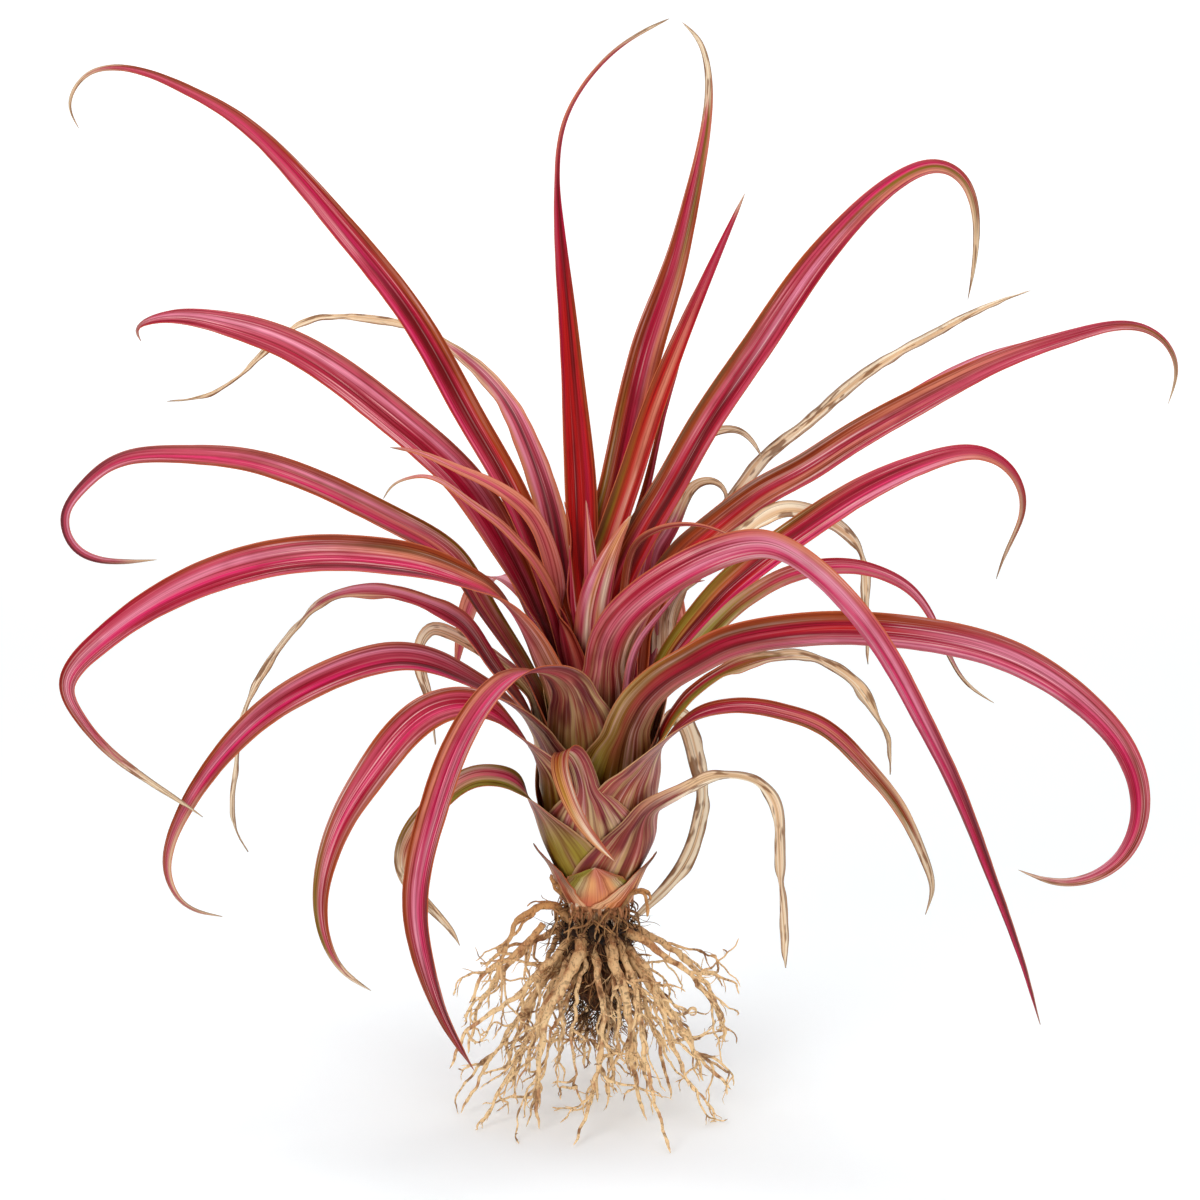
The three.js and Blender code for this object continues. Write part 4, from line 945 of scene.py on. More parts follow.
def leaf_blade(leaf: Leaf, dry: bool) -> Blade:
    """The blade of a leaf, on the same seat, shell and path as its solid.

    Args:
        leaf: The leaf.
        dry: Whether its free blade is dry and crumpled.

    Returns:
        The blade.
    """
    seat = HIGHEST_SEAT - SEAT_STEP * leaf.rank
    seat_radius = stem_radius(seat) + SEAT_GAP + THICKNESS / 2
    climb = [
        around(leaf.heading, seat_radius + VASE_FLARE * share * leaf.rise, seat + share * leaf.rise)
        for share in CLIMB_SHARES
    ]
    eased = leaf.rise if leaf.width > EASED_WIDTH else 0.0
    course = Course(np.array([*climb, *leaf.path], float), LEAF_STEP, around(leaf.heading, 1, 0), eased=eased)
    share = course.share
    twist = math.radians(leaf.lean) * smoothstep(share, *LEAN_SHARES)
    if dry:
        wave = waves(course.reach, DRY_TWIST_LENGTH, seeded(leaf.name + "twist"))
        twist = twist + DRY_TWIST * wave * smoothstep(share, *DRY_TWIST_SHARES)
    half = leaf.width / 2 * through(leaf.form.value, share)
    top = seat + leaf.rise
    freed = np.maximum.accumulate(smoothstep(course.place[:, 2], top - SHEATH_RELEASE, top + SHEATH_RELEASE))
    centred = np.maximum(freed, smoothstep(share, *CENTRED_SHARES))
    away = np.hypot(course.place[:, 0], course.place[:, 1])
    wrap = np.minimum(half / away, WIDEST_WRAP)
    clasp = CLASP[0] + (CLASP[1] - CLASP[0]) * smoothstep(leaf.rank, *CLASP_RANKS)
    climbed = np.maximum.accumulate(np.clip((course.place[:, 2] - seat) / leaf.rise, 0, 1))
    wrap = wrap + np.maximum(clasp - wrap, 0) * (1 - climbed) ** CLASP_CURVE * (1 - centred)
    opened = CHANNEL_ANGLE + (TIP_CHANNEL_ANGLE - CHANNEL_ANGLE) * share
    angle = wrap + (opened - wrap) * centred
    half = np.where(wrap * away > half, half + (wrap * away - half) * (1 - centred), half)
    lift = centred / 2 * half / angle * (1 - np.cos(angle))
    level = unit(course.place * (1, 1, 0))
    normal = unit(level + (course.turned(twist * freed) - level) * freed[:, None])
    return Blade(
        name=leaf.name,
        course=course,
        normal=normal,
        half_width=half,
        angle=angle,
        lift=lift,
        columns=WIDE_COLUMNS if leaf.rank > WIDE_RANK else NARROW_COLUMNS,
        pleat=0.2 if dry else 0.1,
        ruffle=1.0 if dry else 0.15,
    )


class Graph:
    """The nodes of one material, or of the world."""

    def __init__(self, name: str, world: bool = False) -> None:
        """Starts without nodes.

        Args:
            name: Name of the material or the world.
            world: Whether it is a world.
        """
        self.owner = (bpy.data.worlds if world else bpy.data.materials).new(name)
        self.owner.use_nodes = True
        self.tree = self.owner.node_tree
        self.tree.nodes.clear()

    def node(
        self,
        kind: str,
        settings: dict[str, object] | None = None,
        sockets: dict[str | int, object] | None = None,
        output: str | int = 0,
    ) -> "Shade | None":
        """Adds a node.

        Args:
            kind: Type of the node.
            settings: Its settings, and the stops of a ramp.
            sockets: Values or links of its inputs.
            output: The output that is wanted.

        Returns:
            That output, or nothing where the node has none.
        """
        made = self.tree.nodes.new(kind)
        for key, value in (settings or {}).items():
            if key == "stops":
                self.place_stops(made.color_ramp, value)
            else:
                setattr(made, key, value)
        for key, value in (sockets or {}).items():
            if isinstance(value, Shade):
                self.tree.links.new(value.socket, made.inputs[key])
            else:
                made.inputs[key].default_value = value
        return Shade(self, made.outputs[output]) if made.outputs else None

    @staticmethod
    def place_stops(ramp: bpy.types.ColorRamp, tints: tuple[Tint, ...]) -> None:
        """Spreads tints evenly over a ramp.

        Args:
            ramp: The ramp.
            tints: The tints.
        """
        ramp.interpolation = "EASE"
        ramp.elements.remove(ramp.elements[1])
        for k, tint in enumerate(tints):
            place = (k + 0.5) / len(tints)
            stop = ramp.elements.new(place) if k else ramp.elements[0]
            stop.position, stop.color = place, tint.linear

    def parts(self, vector: "Shade") -> tuple["Shade", "Shade", "Shade"]:
        """The three numbers of a vector."""
        made = self.node("ShaderNodeSeparateXYZ", None, {0: vector}).socket.node
        return Shade(self, made.outputs[0]), Shade(self, made.outputs[1]), Shade(self, made.outputs[2])

    def vector(self, x: object, y: object, z: object) -> "Shade":
        """A vector of three numbers."""
        return self.node("ShaderNodeCombineXYZ", None, {0: x, 1: y, 2: z})

    def noise(self, place: "Shade", detail: float = 2.0, scale: float = 1.0, roughness: float = 0.5) -> "Shade":
        """Noise between 0 and 1."""
        sockets = {"Vector": place, "Scale": scale, "Detail": detail, "Roughness": roughness}
        return self.node("ShaderNodeTexNoise", None, sockets)

    def length(self, vector: "Shade") -> "Shade":
        """The length of a vector."""
        return self.node("ShaderNodeVectorMath", {"operation": "LENGTH"}, {0: vector}, "Value")

    def read(self, name: str) -> "Shade":
        """A number that the mesh carries."""
        return self.node("ShaderNodeAttribute", {"attribute_name": name}, None, "Fac")

    def step(self, value: "Shade", low: float, high: float) -> "Shade":
        """Eased step.

        Args:
            value: What it reads.
            low: Where it is 0.
            high: Where it is 1, above or below low.

        Returns:
            The step.
        """
        ends = (0.0, 1.0) if low < high else (1.0, 0.0)
        sockets = {"Value": value, "From Min": min(low, high), "From Max": max(low, high)}
        sockets |= {"To Min": ends[0], "To Max": ends[1]}
        return self.node("ShaderNodeMapRange", {"interpolation_type": "SMOOTHSTEP"}, sockets)

    def mix(self, share: object, first: object, second: object, blend: str = "MIX") -> "Shade":
        """One colour over another.

        Args:
            share: Share of the second colour.
            first: The colour beneath.
            second: The colour on top.
            blend: How they mix.

        Returns:
            The mixed colour.
        """
        colours = [c.linear if isinstance(c, Tint) else c for c in (first, second)]
        settings = {"data_type": "RGBA", "blend_type": blend}
        return self.node("ShaderNodeMix", settings, {0: share, 6: colours[0], 7: colours[1]}, 2)

    def ramp(self, place: "Shade", tints: tuple[Tint, ...]) -> "Shade":
        """Tints spread evenly over 0 to 1."""
        return self.node("ShaderNodeValToRGB", {"stops": tints}, {"Fac": place})

    def finish(self, colour: object, roughness: object, height: "Shade", depth: float, **fixed: object) -> None:
        """Closes the material with its surface.

        Args:
            colour: Base colour.
            roughness: Roughness.
            height: Height of the relief, between 0 and 1.
            depth: Depth of the relief in metres.
            fixed: Values that are the same all over, by socket, with _ for a space.
        """
        bump = self.node("ShaderNodeBump", None, {"Strength": 1.0, "Distance": depth, "Height": height})
        sockets = {"Base Color": colour, "Roughness": roughness, "Normal": bump}
        sockets |= {key.replace("_", " "): value for key, value in fixed.items()}
        shader = self.node("ShaderNodeBsdfPrincipled", None, sockets)
        self.node("ShaderNodeOutputMaterial", None, {"Surface": shader})


class Shade:
    """A socket in a graph, with arithmetic."""

    def __init__(self, graph: Graph, socket: bpy.types.NodeSocket) -> None:
        """Wraps a socket."""
        self.graph = graph
        self.socket = socket

    def joined(self, operation: str, first: object, second: object) -> "Shade":
        """A Math node, or a Vector Math node where a vector or a colour is in it.

        Args:
            operation: What it does.
            first: Its first value.
            second: Its second value.

        Returns:
            The result.
        """
        sides = [first, second]
        if not any(isinstance(side, Shade) and side.socket.type in ("VECTOR", "RGBA") for side in sides):
            return self.graph.node("ShaderNodeMath", {"operation": operation}, {0: first, 1: second})
        sides = [(side,) * 3 if isinstance(side, (int, float)) else side for side in sides]
        return self.graph.node("ShaderNodeVectorMath", {"operation": operation}, {0: sides[0], 1: sides[1]})

    def __add__(self, other: object) -> "Shade":
        """self + other."""
        return self.joined("ADD", self, other)

    def __radd__(self, other: object) -> "Shade":
        """other + self."""
        return self.joined("ADD", other, self)

    def __sub__(self, other: object) -> "Shade":
        """self - other."""
        return self.joined("SUBTRACT", self, other)

    def __rsub__(self, other: object) -> "Shade":
        """other - self."""
        return self.joined("SUBTRACT", other, self)

    def __mul__(self, other: object) -> "Shade":
        """self * other."""
        return self.joined("MULTIPLY", self, other)

    def __rmul__(self, other: object) -> "Shade":
        """other * self."""
        return self.joined("MULTIPLY", other, self)

    def __abs__(self) -> "Shade":
        """Size of the number."""
        return self.graph.node("ShaderNodeMath", {"operation": "ABSOLUTE"}, {0: self})


@dataclass(frozen=True)
class Tissue:
    """Finish of one leaf or scale: bands on both faces, fine streaks and painted sheen, painted base shade, striped
    sheath, pale rim, dry end.
    """

    name: str
    look: Look
    width: float
    dark_streak: tuple[float, float, float, float] = (0.54, 0.30, 0.29, 1.0)
    # Pale of the leaf's own fine lines, also used for painted sheen
    pale_streak_and_sheen: tuple[float, float, float, float] = (0.93, 0.64, 0.62, 1.0)
    # Tint of the painted shade that darkens each leaf towards its base
    heart_shade: tuple[float, float, float, float] = (1.0, 0.82, 0.70, 1.0)

    def bands(self, graph: Graph, bands: tuple[Band, ...], across: Shade, along: Shade) -> Shade:
        """Colour of one face.

        Args:
            graph: The material's nodes.
            bands: Bands by their share of the length.
            across: Place across the leaf.
            along: Place along the leaf.

        Returns:
            The colour.
        """
        colour = graph.ramp(across, bands[0].tints)
        for before, here in zip(bands, bands[1:]):
            share = graph.step(along, before.share, here.share)
            colour = graph.mix(share, colour, graph.ramp(across, here.tints))
        return colour

    def striped(self, graph: Graph, colour: Shade, across: Shade, along: Shade, seed: float) -> Shade:
        """Colour of the lower face with its striped sheath under the blade.

        Args:
            graph: The material's nodes.
            colour: Colour of the blade.
            across: Place across the leaf.
            along: Place along the leaf.
            seed: Offset of the noise.

        Returns:
            The colour.
        """
        look, reach = self.look, graph.read("reach")
        tone = graph.noise(graph.vector(across * 5, reach * 26, seed + 51), 2.0)
        wedge = graph.noise(graph.vector(across * 9, reach * 20, seed + 57), 2.0, 1.0, 0.55)
        line = graph.noise(graph.vector(across * 40, reach * 12, seed + 63), 2.0)
        sheath = graph.mix(graph.step(tone, 0.38, 0.6), Tint.PLUM, Tint.MAUVE)
        sheath = graph.mix(graph.step(wedge, 0.5, 0.66) * 0.8 * look.stripes, sheath, Tint.PALE)
        sheath = graph.mix(graph.step(line, 0.54, 0.68) * 0.6 * look.stripes, sheath, Tint.PALE)
        sheath = graph.mix(graph.step(line, 0.44, 0.3) * 0.5, sheath, Tint.PLUM)
        moss = graph.mix(graph.step(wedge, 0.42, 0.62), Tint.OLIVE, Tint.MOSS)
        sheath = graph.mix(graph.step(along + (wedge - 0.5) * 0.12, look.green + 0.08, look.green - 0.05), sheath, moss)
        return graph.mix(graph.step(along + (tone - 0.5) * 0.2, look.sheath + 0.1, look.sheath - 0.06), colour, sheath)

    def material(self) -> bpy.types.Material:
        """The leaf's material.

        Returns:
            The material.
        """
        look, graph = self.look, Graph(f"{self.name}_tissue")
        seed = float(seeded(self.name).uniform(0, 50))
        u, v, _ = graph.parts(graph.node("ShaderNodeUVMap", {"uv_map": "blade"}))
        reach, upper = graph.read("reach"), graph.read("upper")
        drift = graph.noise(graph.vector(u * 2.0, reach * 16, seed), 2.0) - 0.5
        across = u + drift * 0.12
        along = v + (graph.noise(graph.vector(u * 9, reach * 12, seed + 4), 1.0) - 0.5) * 0.12
        broad = graph.noise(graph.vector(u * self.width * 0.4, reach * 6, seed + 9), 2.0)
        fine = graph.noise(graph.vector(u * self.width * 0.85, reach * 7, seed + 17), 3.0, 1.0, 0.65)
        # Patches where painted sheen brightens the pale streaks
        painted_sheen = graph.step(graph.noise(graph.vector(u * 1.4, reach * 11, seed + 33), 2.0), 0.44, 0.62)
        blotch = graph.noise(graph.vector(u * 1.6, reach * 30, seed + 23), 3.0)
        colour = self.bands(graph, look.upper, across, along)
        if look.lower:
            lower = self.bands(graph, look.lower, across, along)
            if look.sheath > 0:
                lower = self.striped(graph, lower, across, v, seed)
            colour = graph.mix(upper, lower, colour)
        colour = graph.mix(graph.step(broad, 0.5, 0.33) * 0.6, colour, self.dark_streak, "MULTIPLY")
        # Broad pale streaks: partly the leaf's own pale lines, partly painted sheen
        lit = graph.step(broad, 0.54, 0.72) * (painted_sheen * 0.32 + 0.06) * look.streaks
        colour = graph.mix(lit, colour, self.pale_streak_and_sheen)
        colour = graph.mix(graph.step(fine, 0.5, 0.34) * 0.95, colour, self.dark_streak, "MULTIPLY")
        # Fine pale lines: partly the leaf's own, partly painted sheen
        lit = graph.step(fine, 0.54, 0.68) * (painted_sheen * 0.5 + 0.1) * look.streaks
        colour = graph.mix(lit, colour, self.pale_streak_and_sheen)
        colour = graph.mix(graph.step(blotch, 0.5, 0.3) * 0.4, colour, self.dark_streak, "MULTIPLY")
        # Painted shade: the leaf darkens and warms towards its base, deep in the rosette's heart
        colour = graph.mix(graph.step(v, 0.4, 0.1) * 0.85, colour, self.heart_shade, "MULTIPLY")
        edge = abs(u - 0.5) * 2
        rim = graph.mix(graph.step(v, look.sheath + 0.12, look.sheath - 0.04), Tint.RIM, Tint.STRAW)
        colour = graph.mix(graph.step(edge, 0.92, 0.99) * 0.85, colour, rim)
        dryness = graph.step(along + edge * 0.03 + (blotch - 0.5) * 0.12, look.dry_from, look.dry_from + 0.08)
        dry = graph.mix(graph.step(broad, 0.4, 0.62), Tint.TAN, Tint.CREAM)
        dry = graph.mix(graph.step(fine, 0.48, 0.34) * 0.6, dry, Tint.UMBER)
        dry = graph.mix(graph.step(edge + (broad - 0.5) * 1.1, 0.72, 0.98) * 0.75, dry, Tint.UMBER)
        spots = graph.step(graph.noise(graph.vector(u * 2.5, reach * 60, seed + 41), 2.0), 0.53, 0.62)
        dry = graph.mix(spots * 0.8, dry, Tint.UMBER)
        colour = graph.mix(dryness, colour, dry)
        roughness = 0.4 + fine * 0.14 + dryness * 0.3
        graph.finish(colour, roughness, fine * 0.6 + broad * 0.4, TISSUE_RELIEF, Specular_IOR_Level=0.1)
        return graph.owner


@dataclass(frozen=True)
class Bark:
    """A woody or fibrous finish.

    Its tints are the low and the high one, that of its patches and that of its dark grain. Two shares say how far
    knots darken it and how far painted shade darkens it in the depths of the crown.
    """

    low: Tint
    high: Tint
    patches: Tint
    dark: Tint
    knots: float
    deep: float = 0.0

    def material(self, name: str) -> bpy.types.Material:
        """A material of this finish.

        Args:
            name: Name of the material.

        Returns:
            The material.
        """
        graph = Graph(name)
        place = graph.node("ShaderNodeTexCoord", None, None, "Object")
        height = graph.parts(place)[2]
        grain = graph.noise(place * BARK_GRAIN, 3.0, 1.0, 0.65)
        patch = graph.noise(place * BARK_PATCH, 3.0)
        rings = graph.noise(place * BARK_RINGS, 2.0)
        away = graph.length(place * (1.0, 1.0, 0.0))
        colour = graph.mix(graph.step(height + (patch - 0.5) * 0.05, 0.06, 0.12), self.low, self.high)
        colour = graph.mix(graph.step(patch, 0.5, 0.64) * 0.8, colour, self.patches)
        colour = graph.mix(graph.step(rings, 0.45, 0.3) * self.knots, colour, self.dark)
        colour = graph.mix(graph.step(grain, 0.48, 0.34) * 0.6, colour, self.dark)
        # Painted highlight: pale streaks along the grain, below the crown
        lit = graph.step(grain, 0.56, 0.72) * 0.5 * (1 - graph.step(height, 0.1, 0.12))
        colour = graph.mix(lit, colour, self.low)
        # Painted shade: near-black darkening close to the axis, above 6 cm, in the depths of the crown
        depths = graph.step(away + (patch - 0.5) * 0.012, *SHADED_REACH) * graph.step(height, *SHADED_HEIGHT)
        colour = graph.mix(depths * self.deep, colour, Tint.SOIL)
        graph.finish(colour, 0.6 + grain * 0.25, grain * 0.6 + rings * 0.4, BARK_RELIEF, Specular_IOR_Level=0.3)
        return graph.owner


class Wood(Enum):
    """The woody and fibrous finishes."""

    ROOT = Bark(Tint.ROOT_PALE, Tint.ROOT, Tint.ROOT_RED, Tint.ROOT_DARK, 0.6, 0.25)
    ROOTLET = Bark(Tint.ROOT_PALE, Tint.ROOT, Tint.UMBER, Tint.ROOT_DARK, 0.6, 0.75)
    FIBRE = Bark(Tint.ROOT, Tint.UMBER, Tint.ROOT_DARK, Tint.SOIL, 0.6, 0.85)
    # The core's finish is painted shade: near-black, so that the gaps among the roots look dark
    CORE = Bark(Tint.ROOT_DARK, Tint.SOIL, Tint.SOIL, Tint.SOIL, 0.9)
    COLLAR = Bark(Tint.ROOT_RED, Tint.ROOT_RED, Tint.CREAM, Tint.ROOT_DARK, 0.8)
    STEM = Bark(Tint.STRAW, Tint.STRAW, Tint.TAN, Tint.ROOT_DARK, 0.5)


@dataclass(frozen=True)
class Scale:
    """One basal scale, in millimetres and degrees."""

    name: str
    heading: float
    foot: float
    rise: float
    clasp: float
    taper: float
    lie: float


@dataclass
class Stem:
    """The short stem inside the vase."""

    sides: int = 48
    rows: int = 60

    def build(self) -> list[bpy.types.Object]:
        """Builds the stem in place of its solid.

        Returns:
            The piece.
        """
        heights = np.linspace(STEM_FOOT, STEM_TOP, self.rows)
        points = np.stack([heights * 0, heights * 0, heights], 1)
        skin = tube(points, np.array([stem_radius(height) for height in heights]), self.sides).waisted()
        piece = skin.build("stem_cone", Wood.STEM.value.material("stem_fibre"), "bark")
        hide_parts("stem")
        return [piece]


@dataclass
class Foliage:
    """The leaves, from the centre outwards."""

    leaves: tuple[Leaf, ...] = LEAVES

    def build(self) -> list[bpy.types.Object]:
        """Builds every leaf in place of its solid.

        Returns:
            The pieces.
        """
        pieces = []
        for leaf in self.leaves:
            look = LOOKS[leaf.name]
            widest = leaf.width * max(width for _, width in leaf.form.value[2:])
            tissue = Tissue(leaf.name, look, widest)
            skin = leaf_blade(leaf, look.dry_from < DRY_SHARE).skin().waisted()
            piece = skin.build(leaf.name.replace("leaf_", "") + "_blade", tissue.material(), leaf.slot)
            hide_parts(leaf.name)
            pieces.append(piece)
        return pieces


@dataclass
class BasalRing:
    """Short pointed scales outside the lowest sheaths, and the ragged collar under them."""

    scales: tuple[Scale, ...] = (
        Scale("basal_scale_front", 268, 121, 26, 96, 1.0, 0.5),
        Scale("basal_scale_left", 196, 120.5, 34.5, 54, 0.95, 1.3),
        Scale("basal_scale_right", 336, 119.5, 32, 82, 1.8, 2.2),
        Scale("basal_scale_back_right", 51, 120, 30, 74, 1.5, 1.3),
        Scale("basal_scale_back_left", 124, 120, 31, 70, 1.5, 2.2),
    )
    shreds: int = 120
    band_sides: int = 120
    band_rows: int = 6
    band_top: float = 124.5
    band_radius: float = 26.0
    band_reach: float = 12.0

    def scale_blade(self, scale: Scale) -> Blade:
        """The blade of one scale, clasped round the foot of the vase.

        Args:
            scale: The scale.

        Returns:
            The blade.
        """
        points = []
        for share in np.linspace(0, 1, 8):
            radius = SCALE_RADIUS + SCALE_FLARE * (scale.foot - 121 + share * scale.rise)
            radius += scale.lie * smoothstep(share, -0.1, 0.2) + SCALE_SPUR * smoothstep(share, 0.55, 1.0)
            points.append(around(scale.heading, radius, scale.foot + share * scale.rise))
        course = Course(np.array(points), SCALE_STEP, around(scale.heading, 1, 0))
        draw = seeded(scale.name)
        angle = math.radians(scale.clasp) * (1 - course.share) ** scale.taper + 0.03
        angle *= 1 + 0.05 * waves(course.reach, 9.0, draw)
        away = np.hypot(course.place[:, 0], course.place[:, 1])
        level = unit(course.place * (1, 1, 0))
        return Blade(scale.name, course, level, angle * away, angle, away * 0, 20, 0.12, 0.0, 0.5)

    def band(self) -> Skin:
        """The torn papery band over the foot of the stem.

        Returns:
            The band.
        """
        draw, sides, rows = seeded("band"), self.band_sides, self.band_rows
        turn = 2 * math.pi * np.arange(sides) / sides
        wave = 0.5 * np.sin(turn * 5 + 1) + 0.35 * np.sin(turn * 11) + 0.3 * draw.uniform(-1, 1, sides)
        torn = 2.2 * np.sin(turn * 4 + 2) + 1.2 * np.sin(turn * 9) + 1.6 * draw.uniform(-1, 1, sides)
        rings = []
        for face in (1, -1):
            for k in range(rows + 1) if face > 0 else range(rows, -1, -1):
                share = k / rows
                radius = self.band_radius - 4.4 * share + wave * (0.4 + 1.3 * share) + 0.35 * face
                height = self.band_top + 0.8 * wave - share * (self.band_reach - torn)
                rings.append(np.stack([radius * np.cos(turn), radius * np.sin(turn), height], 1))
        count = len(rings)
        i, k = np.meshgrid(np.arange(count), np.arange(sides), indexing="ij")
        here, beside = (i * sides + k).ravel(), (i * sides + (k + 1) % sides).ravel()
        above, across = ((i + 1) % count * sides + k).ravel(), ((i + 1) % count * sides + (k + 1) % sides).ravel()
        return Skin(np.concatenate(rings), np.stack([here, above, across, beside], 1).tolist())

    def shred(self, draw: np.random.Generator, k: int) -> Skin:
        """One torn strip of the collar.

        Args:
            draw: Source of its sizes.
            k: Its place round the foot of the stem.

        Returns:
            The strip.
        """
        heading = 360 * (k + draw.uniform(-0.4, 0.4)) / self.shreds
        low = draw.uniform(109, 122)
        out = 19.5 + 0.38 * (low - 109) + draw.uniform(-0.5, 2.0)
        hang = draw.uniform(3.0, 11)
        skew = draw.uniform(-14, 14)
        points = np.array([
            around(heading, out - 3.0, low + 1.0),
            around(heading + skew * 0.3, out + 1.0, low + 0.4),
            around(heading + skew * 0.7, out + 2.5, low - hang * 0.45),
            around(heading + skew, out + draw.uniform(0.0, 3.6), low - hang),
        ])
        course = Course(points, SHRED_STEP, np.array([0.0, 0.0, 1.0]), 6)
        half = draw.uniform(0.6, 2.6) * (1 - 0.7 * course.share) * (1 + 0.3 * waves(course.reach, 5.0, draw))
        flat = np.full_like(half, 0.5)
        twist = draw.uniform(-0.7, 0.7) * course.share
        blade = Blade(f"shred_{k}", course, course.turned(twist), half, flat, half * 0, 4, 0.0, 0.0, 0.5)
        return blade.skin()

    def build(self) -> list[bpy.types.Object]:
        """Builds the scales in place of their solids, and the collar.

        Returns:
            The pieces.
        """
        pieces = []
        for scale in self.scales:
            look = SCALE_LOOKS.get(scale.name, SCALE_LOOKS["basal_scale_left"])
            tissue = Tissue(scale.name, look, 40.0)
            skin = self.scale_blade(scale).skin().waisted()
            piece = skin.build(scale.name + "_blade", tissue.material(), "salmon")
            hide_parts(scale.name)
            pieces.append(piece)
        draw = seeded("collar")
        collar = merged([self.band(), *(self.shred(draw, k) for k in range(self.shreds))]).waisted()
        pieces.append(collar.build("collar_shreds", Wood.COLLAR.value.material("collar_tissue"), "bark"))
        return pieces


